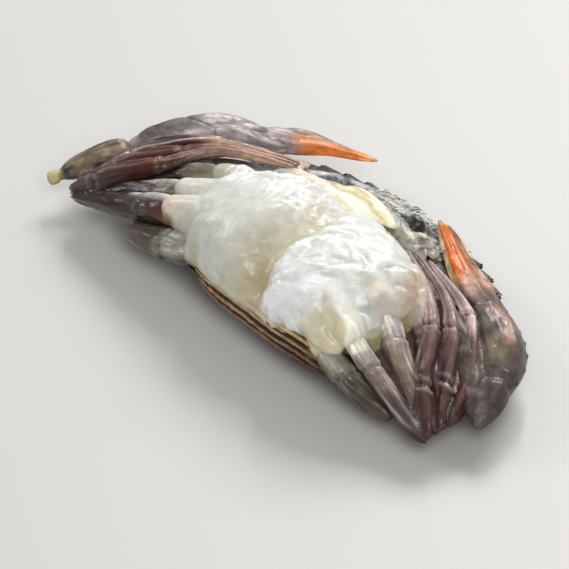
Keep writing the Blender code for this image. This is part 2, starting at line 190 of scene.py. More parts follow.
class WetSkin:
    """A wet skin: the points' own tint, mottled, with a thin clear film of water over it."""

    def __init__(self, name, roughness, subsurface=0.0, depth_mm=1.0, film=1.0, film_roughness=0.12):
        self.material = bpy.data.materials.new(name)
        self.material.use_nodes = True
        self.tree = self.material.node_tree
        self.shader = self.tree.nodes["Principled BSDF"]
        self.fill(self.shader, {
            "Roughness": roughness,
            "Specular IOR Level": 0.15,
            "Coat Weight": film,
            "Coat Roughness": film_roughness,
            "Coat IOR": 1.36,
            "Subsurface Weight": subsurface,
            "Subsurface Radius": (1.0, 0.8, 0.6),
            "Subsurface Scale": depth_mm * MM,
        })
        self.place = self.node("TexCoord").outputs["Object"]

    def fill(self, node, sockets):
        """Sets each socket to a value, or links it to the output of another node."""
        for socket, value in sockets.items():
            if isinstance(value, bpy.types.NodeSocket):
                self.tree.links.new(value, node.inputs[socket])
            else:
                node.inputs[socket].default_value = value

    def node(self, kind, sockets=None, **settings):
        node = self.tree.nodes.new(f"ShaderNode{kind}")
        for setting, value in settings.items():
            setattr(node, setting, value)
        self.fill(node, sockets or {})
        return node

    def along_limb(self, squeeze):
        """The limb laid out straight, squeezed along its length, so that patterns become streaks."""
        lie = self.node("Attribute", attribute_name="lie").outputs["Vector"]
        return self.node("Mapping", {"Vector": lie, "Scale": (squeeze, 1.0, 1.0)}).outputs["Vector"]

    def clouds(self, size_mm, detail=3.0, roughness=0.55, distortion=0.0, place=None):
        return self.node("TexNoise", {
            "Vector": place or self.place,
            "Scale": 1.0 / (size_mm * MM),
            "Detail": detail,
            "Roughness": roughness,
            "Distortion": distortion,
        }).outputs["Fac"]

    def shades(self, share, *stops):
        """Greys along a share: each stop is (place, grey), and a grey above 1 lightens."""
        node = self.node("ValToRGB", {"Fac": share})
        elements = node.color_ramp.elements
        while len(elements) < len(stops):
            elements.new(0.5)
        for element, (place, grey) in zip(elements, stops):
            element.position = place
            element.color = (grey, grey, grey, 1.0)
        return node.outputs["Color"]

    def tinted(self, *shades):
        """The points' tint, multiplied by each of these shades, as the skin's colour."""
        colour = self.node("Attribute", attribute_name="tint").outputs["Color"]
        share, first, second, result = 0, 6, 7, 2
        for shade in shades:
            sockets = {share: 1.0, first: colour, second: shade}
            colour = self.node("Mix", sockets, data_type="RGBA", blend_type="MULTIPLY").outputs[result]
        self.fill(self.shader, {"Base Color": colour})

    def relief(self, height, depth_mm, strength=1.0):
        sockets = {"Height": height, "Distance": depth_mm * MM, "Strength": strength}
        normal = self.node("Bump", sockets).outputs["Normal"]
        self.fill(self.shader, {"Normal": normal, "Coat Normal": normal})


def shell_outline(angle, share):
    """How far the shell reaches at this angle from +X: a wide oval, with saw teeth on its front rim."""
    x, y = math.cos(angle), math.sin(angle)
    depth = SHELL_FRONT if y > 0.0 else SHELL_REAR
    power = SHELL_REAR_POWER if y < 0.0 else SHELL_RIGHT_POWER if x > 0.0 else SHELL_LEFT_POWER
    radius = (abs(x / (SHELL_WIDTH / 2.0)) ** power + abs(y / depth) ** power) ** (-1.0 / power)
    if y > 0.1:
        from_side = min(angle, math.pi - angle)
        radius -= TOOTH_HEIGHT * ((from_side / TOOTH_PITCH) % 1.0) * share**14
    return radius * share


bpy.ops.mesh.primitive_uv_sphere_add(segments=SHELL_SEGMENTS, ring_count=SHELL_RINGS, radius=1.0)
shell = bpy.context.object
shell.name = "back_shell"
places = []
for vertex in shell.data.vertices:
    x, y, z = vertex.co
    share = math.hypot(x, y)
    angle = math.atan2(y, x)
    radius = shell_outline(angle % (2.0 * math.pi), share)
    if z < 0.0:
        climb = max(0.0, share - SHELL_FLAT_SHARE) / (1.0 - SHELL_FLAT_SHARE)
        height = SHELL_RIM_HEIGHT * climb**1.6
    else:
        height = SHELL_RIM_HEIGHT + (SHELL_LIP + SHELL_INSIDE_RISE * (1.0 - share)) * min(1.0, 12.0 * z)
    places.append((radius * math.cos(angle), radius * math.sin(angle), height))
move_points(shell, places)
places = points_of(shell)[0]
off_floor = np.clip(places[:, 2] / 1.5, 0.0, 1.0)
swell(shell, (0.35 * lumps(places, 9.0) + 0.14 * lumps(places, 2.2) - 0.2) * off_floor)
paint_points(shell, SHELL_DARK, (
    (SHELL_OLIVE, eased(lumps(places, 7.0, 3.0), 0.0, 0.5)),
    (SHELL_PURPLE, eased(places[:, 0], 16.0, 22.0) * eased(places[:, 2], 5.0, 8.0)),
))
skin = WetSkin("shell_skin", roughness=0.32)
skin.tinted(skin.shades(skin.clouds(1.6, 4.0, 0.65), (0.3, 0.5), (0.7, 1.7)))
skin.relief(skin.clouds(0.9, 4.0, 0.6), 0.3)
settle(shell, skin)

# The breast: the pale underside of the body, soft milky muscle under a thin wet skin. A trough
# runs between its two lobes, the white hips of the legs grow out of it, and a smooth pale pad
# lies along its front where the face was cut off.
RIGHT, LEFT = 1, -1
WALKING_LEGS = SWIMMER = 3
BREAST_MIDDLE = Vector((-1.5, -4.0, 12.0))
BREAST_LEFT, BREAST_RIGHT = 30.0, 25.0
BREAST_FRONT, BREAST_REAR = 15.8, 15.0
BREAST_TOP, BREAST_BOTTOM = 26.0, 5.0
BREAST_FULLNESS, BREAST_LEFT_SLOPE, BREAST_SQUARENESS = 0.72, 0.3, 2.4
BREAST_CUTS = 31
TROUGH_LINE = ((8.5, -3.6), (0.3, -0.9), (-5.1, -0.7), (-10.3, -2.4), (-13.8, -2.0), (-16.4, -0.6))
TROUGH_DEPTH, TROUGH_DEEPENING = 3.0, 0.1
TROUGH_LEFT_WIDTH, TROUGH_RIGHT_WIDTH = 5.5, 2.0
THIGH = {
    RIGHT: (
        ((14.0, 6.0, 18.0), (10.5, -12.5, 19.0)),
        ((21.5, 3.2, 15.0), (20.0, -13.2, 15.7)),
        ((31.0, -3.0, 10.4), (28.5, -13.6, 10.6)),
        ((43.0, -9.5, 6.0), (42.6, -15.0, 5.0)),
    ),
    LEFT: (
        ((-24.0, 4.0, 15.5), (-19.0, -8.0, 15.5)),
        ((-34.0, 0.0, 14.5), (-30.3, -12.2, 14.6)),
        ((-42.0, -5.5, 12.0), (-40.6, -14.3, 11.2)),
        ((-52.4, -13.4, 8.6), (-54.6, -16.8, 6.4)),
    ),
}
SWIMMING_THIGH = {
    RIGHT: ((7.0, -13.6, 13.0), (16.2, -16.3, 11.6), (25.5, -16.3, 8.0), (33.5, -15.2, 5.2)),
    LEFT: ((-14.0, -13.0, 12.0), (-22.0, -15.0, 11.5), (-29.5, -16.0, 9.6), (-38.5, -16.4, 7.6)),
}
HIP_RADII = {RIGHT: ((3.0, 2.5), (2.9, 2.4), (2.8, 2.1)), LEFT: ((3.0, 2.3), (3.2, 2.5), (3.6, 3.1))}
HIP_SHARE = {RIGHT: (0.50, 0.32, 0.42), LEFT: (0.30, 0.45, 0.40)}
HIP_LAP, SWIMMING_HIP_SHARE = 0.02, 0.4
SWIMMING_THIGH_RADII = {RIGHT: (2.5, 1.8), LEFT: (3.0, 2.5)}
WEBS = {RIGHT: (0.5, 1.5, 2.3), LEFT: (0.5, 1.5)}
WEB_SHARE, WEB_RADII = 0.34, (3.0, 2.2)
WEB_DROP = {RIGHT: Vector((0.0, 0.0, -3.2)), LEFT: Vector((0.0, 0.0, -1.8))}
LEFT_FAIRINGS = {1: (5.4, 2.8), 2: (6.6, 3.2)}
MOUTH_PAD = ((-12.5, 14.2, 16.6), (-8.5, 14.6, 17.3), (-2.3, 13.9, 17.8), (5.0, 13.2, 17.4))
MOUTH_PAD_RADII, MOUTH_PAD_MIDDLE_Y = (2.1, 2.5), 14.2
BROW = ((-27.0, 6.6, 13.6), (-20.0, 10.2, 14.4), (-10.0, 11.2, 14.8), (8.0, 9.8, 14.2))
BROW_RADIUS = 3.3
SKIN_VOXEL = 0.3
SECTION_STEPS, LIMB_CUTS = 6, 7
PLACES_AT_ONCE = 4000
MILK = (0.70, 0.71, 0.67)
CLEAR_GREY = (0.555, 0.575, 0.505)
PAINTED_LIGHT_WHITE = (0.86, 0.87, 0.88)
CREAM = (0.72, 0.64, 0.43)
VALLEY_BEIGE = (0.58, 0.50, 0.33)
REAR_BEIGE = (0.42, 0.32, 0.18)
FLANK_PINK = (0.50, 0.39, 0.28)
PAD_YELLOW = (0.84, 0.78, 0.56)
PAD_BEIGE = (0.52, 0.41, 0.22)
PAD_RIM = (0.95, 0.92, 0.78)
HIP_VALLEY = (0.46, 0.37, 0.18)
PAINTED_SHADE_DARK = (0.03, 0.02, 0.012)
HIP_HUES = {
    RIGHT: ((0.56, 0.45, 0.35), (0.80, 0.75, 0.63), (0.93, 0.89, 0.75), (0.66, 0.60, 0.42)),
    LEFT: ((0.42, 0.39, 0.29), (0.66, 0.65, 0.59), (0.70, 0.60, 0.48), (0.50, 0.49, 0.42)),
}
HIP_END_HUES = {
    RIGHT: ((0.56, 0.52, 0.46), (0.56, 0.52, 0.46), (0.56, 0.52, 0.46), (0.66, 0.60, 0.42)),
    LEFT: ((0.30, 0.27, 0.19), (0.30, 0.27, 0.19), (0.13, 0.06, 0.04), (0.50, 0.49, 0.42)),
}


def stripe(off, width):
    """1 where off is 0, and a smooth fall to 0 on both sides within about this width."""
    return np.exp(-((off / width) ** 2))


def mix(low, high, share):
    return low + (high - low) * share


def route(joints):
    """A smooth curve through the joints, as a function of the share t of the way along it."""
    points = [Vector(joint) for joint in joints]
    points = [2.0 * points[0] - points[1], *points, 2.0 * points[-1] - points[-2]]
    spans = len(points) - 3

    def place(t):
        span = min(int(t * spans), spans - 1)
        u = t * spans - span
        before, start, end, after = points[span : span + 4]
        first = (end - before) * u
        second = (2.0 * before - 5.0 * start + 4.0 * end - after) * u**2
        third = (3.0 * start - before - 3.0 * end + after) * u**3
        return start + 0.5 * (first + second + third)

    return place


def stretch(path, first, last):
    """The part of a path between two shares of it."""
    return lambda t: path(mix(first, last, t))


def rounded(t, power=3.0):
    """A limb's share of its full radius at t: blunt, closed ends and a full middle."""
    return max(0.0, 1.0 - abs(2.0 * t - 1.0) ** power) ** 0.5


def limb_route(joints, side, number):
    """The route of one walking leg, evenly between those of the first and the last one."""
    share = number / (WALKING_LEGS - 1)
    return route([mix(Vector(first), Vector(last), share) for first, last in joints[side]])


def limb(name, path, radii, height_share=1.0, power=3.0, swollen=0.0):
    """A limb drawn as a path along its route, with an oval bevel that each point's radius scales."""
    bpy.ops.curve.primitive_bezier_circle_add(radius=MM)
    section = bpy.context.object
    section.scale.y = height_share
    bpy.ops.object.transform_apply(location=False, rotation=False, scale=True)
    section.data.resolution_u = SECTION_STEPS
    bpy.ops.curve.primitive_nurbs_path_add()
    obj = bpy.context.object
    obj.name = name
    bpy.ops.object.mode_set(mode="EDIT")
    bpy.ops.curve.select_all(action="SELECT")
    bpy.ops.curve.spline_type_set(type="POLY")
    bpy.ops.curve.subdivide(number_cuts=LIMB_CUTS)
    bpy.ops.object.mode_set(mode="OBJECT")
    points = obj.data.splines[0].points
    for k, point in enumerate(points):
        t = 0.5 - 0.5 * math.cos(math.pi * k / (len(points) - 1))
        point.co = (*at(path(t)), 1.0)
        point.radius = mix(*radii, t) * (1.0 + swollen * math.sin(math.pi * t)) * rounded(t, power)
    obj.data.twist_mode = "Z_UP"
    obj.data.bevel_mode = "OBJECT"
    obj.data.bevel_object = section
    obj.data.use_fill_caps = True
    pick(obj)
    bpy.ops.object.convert(target="MESH")
    bpy.data.objects.remove(section)
    pick()
    return obj


def apply_modifier(obj, kind, **settings):
    modifier = obj.modifiers.new(kind.lower(), kind)
    for setting, value in settings.items():
        setattr(modifier, setting, value)
    bpy.context.view_layer.objects.active = obj
    bpy.ops.object.modifier_apply(modifier=modifier.name)


def grown_together(name, parts, smoothing=4, voxel=SKIN_VOXEL):
    """Joins the parts as one closed skin of even small faces, and eases the creases between them."""
    pick(*parts)
    bpy.ops.object.join()
    obj = parts[0]
    obj.name = obj.data.name = name
    apply_modifier(obj, "REMESH", mode="VOXEL", voxel_size=voxel * MM)
    apply_modifier(obj, "SMOOTH", factor=0.5, iterations=smoothing)
    pick()
    return obj


def hollows(obj, rounds):
    """How hollow the skin is at each point, in millimetres: above 0 in a crease, below 0 on a ridge."""
    places, normals = points_of(obj)
    edges = np.empty(len(obj.data.edges) * 2, np.int32)
    obj.data.edges.foreach_get("vertices", edges)
    starts, ends = edges.reshape(-1, 2).T
    count = len(places)
    neighbours = np.bincount(starts, minlength=count) + np.bincount(ends, minlength=count)
    eased_places = places.copy()
    for _ in range(rounds):
        for axis in range(3):
            column = eased_places[:, axis]
            total = np.bincount(starts, column[ends], count) + np.bincount(ends, column[starts], count)
            eased_places[:, axis] = 0.5 * column + 0.5 * total / np.maximum(neighbours, 1)
    return ((eased_places - places) * normals).sum(axis=1)


def from_trough(places):
    """How far each place lies from the trough, in widths of its left bank, gentle, or right one, steep."""
    rows = np.array(sorted(TROUGH_LINE))
    off = places[:, 0] - np.interp(places[:, 1], rows[:, 0], rows[:, 1])
    return np.where(off < 0.0, off / TROUGH_LEFT_WIDTH, off / TROUGH_RIGHT_WIDTH)


def breast_points(ball):
    """Where the points of a unit ball lie on the breast: a low dome with a trough between two lobes."""
    x, y, z = ball.T
    power = BREAST_SQUARENESS
    squarer = np.hypot(x, y) / np.maximum((abs(x) ** power + abs(y) ** power) ** (1.0 / power), 1e-9)
    px = BREAST_MIDDLE.x + squarer * x * np.where(x < 0.0, BREAST_LEFT, BREAST_RIGHT)
    py = BREAST_MIDDLE.y + squarer * y * np.where(y < 0.0, BREAST_REAR, BREAST_FRONT)
    high = np.maximum(z, 0.0)
    fullness = BREAST_FULLNESS + BREAST_LEFT_SLOPE * eased(-x, 0.3, 0.9)
    top = BREAST_MIDDLE.z + (BREAST_TOP - BREAST_MIDDLE.z) * high**fullness
    depth = TROUGH_DEPTH + TROUGH_DEEPENING * np.maximum(0.0, 3.0 - py)
    off_trough = from_trough(np.stack((px, py), axis=1))
    top -= depth * np.minimum(1.0, 2.0 * high) * stripe(off_trough, 1.0) + 0.5 * high
    below = BREAST_MIDDLE.z + (BREAST_MIDDLE.z - BREAST_BOTTOM) * z
    return np.stack((px, py, np.where(z > 0.0, top, below)), axis=1)


def nearest_on(line, places):
    """For each place, the number of the line's point that is nearest to it."""
    numbers = np.empty(len(places), int)
    for first in range(0, len(places), PLACES_AT_ONCE):
        some = slice(first, first + PLACES_AT_ONCE)
        numbers[some] = ((places[some, None, :] - line[None, :, :]) ** 2).sum(axis=2).argmin(axis=1)
    return numbers


def near_route(places, path, steps=40):
    """For each place, the share along the path of its nearest point, and how far off that is."""
    line = np.array([path(k / steps) for k in range(steps + 1)])
    numbers = nearest_on(line, places)
    return numbers / steps, ((places - line[numbers]) ** 2).sum(axis=1) ** 0.5


def over_route(places, path, steps=40):
    """As near_route, but seen from above, and also how high each place is over the path."""
    share, gap = near_route(places * (1.0, 1.0, 0.0), lambda t: Vector((path(t).x, path(t).y, 0.0)), steps)
    heights = np.array([path(k / steps).z for k in range(steps + 1)])
    return share, gap, places[:, 2] - heights[np.round(share * steps).astype(int)]


bpy.ops.mesh.primitive_cube_add(size=2.0)
breast = bpy.context.object
bpy.ops.object.mode_set(mode="EDIT")
bpy.ops.mesh.subdivide(number_cuts=BREAST_CUTS)
bpy.ops.object.mode_set(mode="OBJECT")
move_points(breast, breast_points(np.array([vertex.co.normalized() for vertex in breast.data.vertices])))
parts = [breast, limb("pad", route(MOUTH_PAD), MOUTH_PAD_RADII, 0.5, power=1.7)]
parts.append(limb("brow", route(BROW), (BROW_RADIUS, BROW_RADIUS)))
hips = {}
for side in (RIGHT, LEFT):
    for number in range(WALKING_LEGS):
        hip = stretch(limb_route(THIGH, side, number), 0.0, HIP_SHARE[side][number] + HIP_LAP)
        parts.append(limb("hip", hip, HIP_RADII[side][number], power=5.0))
        hips[side, number] = hip
for side in (RIGHT, LEFT):
    hip = stretch(route(SWIMMING_THIGH[side]), 0.0, SWIMMING_HIP_SHARE)
    parts.append(limb("hip", hip, SWIMMING_THIGH_RADII[side], 1.1, power=5.0))
    hips[side, SWIMMER] = hip
    for number in WEBS[side]:
        hip = stretch(limb_route(THIGH, side, number), 0.0, WEB_SHARE)
        web = route([hip(share) + WEB_DROP[side] for share in (0.0, 0.5, 1.0)])
        parts.append(limb("web", web, WEB_RADII, 1.0, power=5.0))
for number, radii in LEFT_FAIRINGS.items():
    hip = stretch(limb_route(THIGH, LEFT, number), 0.0, WEB_SHARE)
    parts.append(limb("fairing", hip, radii, 0.9, power=9.0))
breast = grown_together("breast", parts, smoothing=8)

# Its skin is drawn into soft pillows, restless on the right lobe and along the front, and almost
# smooth on the left lobe's rear, with fine raised veins here and there, painted white as highlights.
places = points_of(breast)[0]
x, y, z = places.T
on_hips, ridges = np.zeros(len(places)), np.zeros(len(places))
for hip in hips.values():
    share, gap, above = over_route(places, hip)
    on_hip = eased(share, 0.35, 0.6) * faded(gap, 2.6, 3.4) * eased(above, -2.0, 0.0)
    ridge = stripe(gap, 1.9) * eased(share, 0.05, 0.4) * faded(share, 0.75, 1.0) * eased(above, 1.0, 2.6)
    on_hips, ridges = np.maximum(on_hips, on_hip), np.maximum(ridges, ridge)
pad_gap = near_route(places, route(MOUTH_PAD))[1]
on_pad = faded(pad_gap, 2.5, 3.3)
trough = from_trough(places)
restless = np.clip(eased(trough, 0.0, 1.0) + eased(y, -7.0, -1.0), 0.15, 1.0)
restless *= (1.0 - 0.9 * on_pad) * (1.0 - 0.6 * on_hips)
flank = eased(x + 0.4 * y, 17.0, 21.0) * eased(y, -6.0, -1.0)
sway = np.stack([lumps(places, 5.5, seed) for seed in (1.0, 11.0, 21.0)], axis=1) * 3.0
swayed = places + sway
left_fibres = swayed * (1.0, 0.42, 0.8)
outward, forward, upward = swayed.T
right_fibres = np.stack((0.658 * outward + 0.753 * forward, forward - outward, upward), axis=1)
fibres = np.where((trough > 0.0)[:, None], right_fibres * (0.5, 0.75, 1.0), left_fibres)
pillows = np.hypot(lumps(fibres, 3.9), 0.17) - 0.17
pillows = pillows + 0.2 * np.hypot(lumps(fibres + 0.6 * sway, 1.9, 31.0), 0.1) - 0.05
veins = stripe(lumps(fibres, 2.1, 9.0), 0.13) * eased(lumps(places, 6.0, 51.0), -0.1, 0.2)
curls = stripe(lumps(swayed, 1.9, 77.0), 0.1) * eased(y, -5.0, 1.0) * (trough < 0.0)
creased = 0.9 * pillows + 0.2 * veins + 0.22 * curls + 0.05 * lumps(places, 1.6, 3.0)
dished = -0.22 * on_pad * faded(pad_gap, 0.8, 1.9)
puckers = 0.3 * np.hypot(lumps(places * (1.0, 1.0, 0.5), 1.5, 91.0), 0.08) + 0.1 * lumps(places, 0.9, 15.0)
swell(breast, creased * restless + dished + flank * puckers + 0.9 * ridges - 0.15 * (1.0 - on_pad))

places = points_of(breast)[0]
x, y, z = places.T
patches = lumps(places, 5.0, 41.0)
beside_hips = {key: over_route(places, hip) for key, hip in hips.items()}
near_hips, on_hips = np.zeros(len(places)), np.zeros(len(places))
for share, gap, above in beside_hips.values():
    near_hips = np.maximum(near_hips, eased(share, 0.35, 0.7) * faded(gap, 4.0, 6.0))
    on_hips = np.maximum(on_hips, faded(gap + 0.3 * patches, 1.9, 2.6) * eased(above, -2.0, 0.0))
milky = eased(pillows + 0.3 * patches + 0.012 * (z - 16.0), -0.05, 0.2)
bed = stripe(np.minimum(trough, 0.0), 1.1) * faded(trough, 0.3, 1.2) * eased(z, 11.0, 15.0)
coats = [
    (MILK, milky * np.maximum(restless, 0.35)),
    # Painted highlight: white along the raised veins and curls.
    (PAINTED_LIGHT_WHITE, (0.75 * veins + 0.85 * curls) * restless),
    # Painted light: the right lobe's low rear side made whiter, where it faces away from the lamps.
    (PAINTED_LIGHT_WHITE, 0.6 * eased(trough, 0.5, 1.5) * eased(-y, 9.0, 13.0) * eased(z, 12.0, 16.0)),
    (VALLEY_BEIGE, 0.6 * bed * faded(y, 3.0, 9.0)),
    (REAR_BEIGE, 0.7 * bed * eased(-y, 7.0, 15.0)),
    (CREAM, 0.5 * faded(z + 3.0 * patches, 11.0, 16.0)),
    (REAR_BEIGE, faded(z + 2.0 * patches, 9.0, 12.5)),
    (FLANK_PINK, 0.8 * eased(x + 0.4 * y + 2.0 * patches, 16.5, 23.0) * eased(y, -9.0, -4.0)),
    (CREAM, 0.7 * eased(y + 1.5 * patches, 8.6, 10.6)),
    (HIP_VALLEY, 0.85 * near_hips * (1.0 - on_hips) * faded(z, 14.5, 18.0)),
]
for (side, number), (share, gap, above) in beside_hips.items():
    on_hip = faded(gap + 0.3 * patches, 2.3, 3.1) * eased(above, -2.0, 0.0)
    around = faded(gap, 3.4, 4.4) * eased(share, 0.4, 0.6)
    end = share + 0.2 * patches - (x < 0.0) * (0.1 * above - 0.2)
    coats += [
        (HIP_HUES[side][number], 0.85 * on_hip * eased(share + 0.15 * patches, 0.35, 0.75)),
        (HIP_END_HUES[side][number], 0.85 * np.where(x < 0.0, around, on_hip) * eased(end, 0.78, 1.0)),
    ]
across_pad = pad_gap * np.sign(y - MOUTH_PAD_MIDDLE_Y) + 0.5 * lumps(places, 4.0, 61.0)
coats += [
    # Painted shade: near black under the left hips' low rear, and in the low gaps between the hips.
    (PAINTED_SHADE_DARK, faded(z + 0.6 * patches, 11.6, 13.2) * (x < -25.0) * (y < 0.0)),
    (PAINTED_SHADE_DARK, 0.9 * (1.0 - on_hips) * near_hips * faded(z, 9.5, 12.5)),
    # Painted shade: the creases darkened with valley beige.
    (VALLEY_BEIGE, 0.6 * eased(hollows(breast, 14), 0.05, 0.35)),
    (PAD_YELLOW, on_pad),
    (PAD_BEIGE, on_pad * 0.75 * np.cos(2.4 * across_pad) ** 4),
    (PAD_RIM, on_pad * eased(pad_gap, 1.3, 1.9)),
]
paint_points(breast, CLEAR_GREY, coats)
skin = WetSkin("breast_skin", roughness=0.42, subsurface=0.85, depth_mm=2.4, film=0.7)
skin.tinted(skin.shades(skin.clouds(2.6, 4.0, 0.55, 0.8), (0.32, 0.9), (0.66, 1.08)))
skin.relief(skin.clouds(2.0, 2.0, 0.5, 0.8), 0.3, 0.5)
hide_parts("soft_shell_crab")
settle(breast, skin)

# The torn front: under the pad the body was cut open. Dark wet flaps and thin pale shreds of gill
# and skin hang out of the cut, over the front of the shell, with one dark knob among them.
TORN_EDGE = ((-27.0, 15.0, 11.0), (-16.0, 19.4, 11.4), (-2.0, 20.8, 11.6), (12.0, 18.0, 11.2))
TORN_RADIUS = 2.3
TORN_BED = ((-26.0, 10.6, 11.6), (-14.0, 15.2, 12.8), (-2.0, 16.6, 13.0), (11.0, 14.6, 12.4))
TORN_BED_RADIUS = 2.8
TORN_VOXEL = 0.26
FLAPS, FLAP_RADIUS = 24, 1.5
SHREDS, SHRED_RADIUS = 60, 0.36
DARK_KNOB = ((0.7, 20.3, 13.2), (2.7, 20.1, 13.8), (4.6, 19.6, 13.2))
DARK_KNOB_RADII = (1.9, 1.7)
PALE_FLAP = ((4.6, 16.7, 14.5), (7.2, 17.9, 14.6), (9.6, 19.3, 13.6))
PALE_FLAP_RADII = (0.9, 0.6)
FLAP_SLOPE, SHRED_SLOPE, CUT_MIDDLE_Y = 0.35, 0.42, 16.0
TORN_DARK = (0.022, 0.026, 0.022)
TORN_GREY = (0.30, 0.285, 0.25)
SHRED_WHITE = (0.46, 0.45, 0.41)
TORN_BLUE = (0.10, 0.12, 0.12)
TORN_PAINTED_GLINT = (0.64, 0.67, 0.70)
GLINT_SPOTS = ((-22.5, 18.6), (-20.0, 20.4), (-13.7, 22.6))
TORN_BEIGE = (0.66, 0.56, 0.38)
chance = random.Random(7)
torn_edge = route(TORN_EDGE)
parts = [
    limb("torn", torn_edge, (TORN_RADIUS, TORN_RADIUS), 0.9),
    limb("bed", route(TORN_BED), (TORN_BED_RADIUS, TORN_BED_RADIUS)),
]
for _ in range(FLAPS):
    middle = torn_edge(chance.uniform(0.0, 1.0)) + Vector((0.0, chance.uniform(-4.0, 2.6), 0.0))
    middle.z += 1.6 - FLAP_SLOPE * (middle.y - CUT_MIDDLE_Y)
    turn = chance.uniform(0.1, 3.0)
    reach = Vector((math.cos(turn), math.sin(turn), 0.0)) * chance.uniform(2.0, 3.6)
    tilt = Vector((0.0, 0.0, chance.uniform(-1.6, -0.2)))
    bend = Vector((0.0, 0.0, chance.uniform(0.2, 0.9)))
    flap = route((middle - 0.5 * reach, middle + bend, middle + reach + tilt))
    radii = (FLAP_RADIUS, chance.uniform(0.5, 1.6))
    parts.append(limb("flap", flap, radii, chance.uniform(0.2, 0.35)))
for _ in range(SHREDS):
    middle = torn_edge(chance.uniform(0.36, 1.0)) + Vector((0.0, chance.uniform(-3.8, 3.4), 0.0))
    middle.z += 2.6 - SHRED_SLOPE * (middle.y - CUT_MIDDLE_Y)
    turn = chance.uniform(0.0, 3.1)
    reach = Vector((math.cos(turn), math.sin(turn), chance.uniform(-0.5, 0.5))) * chance.uniform(0.9, 2.0)
    bend = Vector((chance.uniform(-0.5, 0.5), chance.uniform(-0.5, 0.5), chance.uniform(0.2, 0.8)))
    shred = route((middle - reach, middle + 0.6 * bend, middle + reach))
    radii = (SHRED_RADIUS, chance.uniform(0.2, 0.3))
    parts.append(limb("shred", shred, radii, chance.uniform(0.5, 0.8)))
parts.append(limb("knob", route(DARK_KNOB), DARK_KNOB_RADII, 0.8))
parts.append(limb("flap", route(PALE_FLAP), PALE_FLAP_RADII, 0.3))
torn = grown_together("torn_front", parts, smoothing=1, voxel=TORN_VOXEL)
places = points_of(torn)[0]
swell(torn, 0.25 * abs(lumps(places, 2.4)) + 0.08 * lumps(places, 0.9) - 0.1)
places = points_of(torn)[0]
x, y, z = places.T
patches = lumps(places, 3.0, 5.0)
knob = faded(near_route(places, route(DARK_KNOB))[1], 1.8, 2.4)
flap = faded(near_route(places, route(PALE_FLAP))[1], 1.2, 1.7)
cream_gap = near_route(places, route(BROW))[1] + 0.5 * patches
hollow = hollows(torn, 5)
shredded = eased(x + 2.0 * patches, -14.0, -9.0) * (1.0 - knob)
coats = [(TORN_BLUE, 0.8 * eased(patches, -0.1, 0.4)), (TORN_GREY, shredded)]
# Painted glints: pale blue white spots of reflection on the wet front at the left.
for spot_x, spot_y in GLINT_SPOTS:
    away = np.hypot(x - spot_x, y - spot_y) + 0.9 * patches
    coats.append((TORN_PAINTED_GLINT, 0.8 * faded(away, 1.4, 3.2) * eased(z, 11.0, 12.5)))
coats += [
    (SHRED_WHITE, 0.9 * shredded * eased(0.12 * patches - hollow, 0.02, 0.16)),
    # Painted shade: dark in the hollows between the shreds.
    (TORN_DARK, 0.8 * shredded * eased(hollow, 0.06, 0.2)),
    (TORN_BEIGE, 0.85 * faded(cream_gap, 5.2, 6.4) * eased(-x, 5.0, 9.0)),
    (TORN_BEIGE, np.maximum(0.25 * flap, 0.6 * eased(x - 0.6 * (y - 18.0), 11.0, 13.5))),
    (TORN_BEIGE, 0.8 * eased(-x + 2.0 * lumps(places, 3.0, 9.0), 22.0, 25.0)),
    (TORN_DARK, 0.45 * knob),
]
paint_points(torn, TORN_DARK, coats)
torn_flesh = WetSkin("torn_flesh", roughness=0.28, subsurface=0.2, depth_mm=1.0)
torn_flesh.tinted(torn_flesh.shades(torn_flesh.clouds(1.2, 4.0, 0.6), (0.3, 0.55), (0.7, 1.5)))
torn_flesh.relief(torn_flesh.clouds(0.8, 3.0, 0.6), 0.2)
settle(torn, torn_flesh)

# The gill bristles: short soft threads of torn gill, grey white, in the same wet flesh. They grow out
# of the cut and lie over its front, all much the same way. One is drawn, and the others are its copies.
BRISTLES = 260
BRISTLE_SIDES, BRISTLE_RADIUS = 5, 0.2
BRISTLE_STUB = 0.4
BRISTLE_STEPS = ((0.55, 0.2, 1.0), (0.55, -0.15, 0.85), (0.5, -0.35, 0.4))
BRISTLE_FIRST, BRISTLE_LAST, BRISTLE_TURN = 0.44, 0.80, -1.05
KNOB_ROOM = 1.8
BRISTLE_WHITE = (0.56, 0.55, 0.50)
bpy.ops.mesh.primitive_cylinder_add(
    vertices=BRISTLE_SIDES,
    radius=BRISTLE_RADIUS * MM,
    depth=BRISTLE_STUB * MM,
    location=at((0.0, BRISTLE_STUB / 2.0, 0.0)),
    rotation=(-math.pi / 2.0, 0.0, 0.0),
)
blade = bpy.context.object
bpy.ops.object.transform_apply(location=True, rotation=True, scale=True)
bpy.ops.object.mode_set(mode="EDIT")
bpy.ops.mesh.select_mode(type="FACE")
bpy.ops.mesh.select_all(action="DESELECT")
bpy.ops.object.mode_set(mode="OBJECT")
for face in blade.data.polygons:
    face.select = face.normal.y > 0.9
bpy.ops.object.mode_set(mode="EDIT")
end = Vector((0.0, BRISTLE_STUB, 0.0))
for onward, upward, slimmer in BRISTLE_STEPS:
    end += Vector((0.0, onward, upward))
    bpy.ops.mesh.extrude_region_move(TRANSFORM_OT_translate={"value": (0.0, onward * MM, upward * MM)})
    bpy.ops.transform.resize(value=(slimmer,) * 3, center_override=at(end))
bpy.ops.object.mode_set(mode="OBJECT")
blade_shape = points_of(blade)[0]
bristles = []
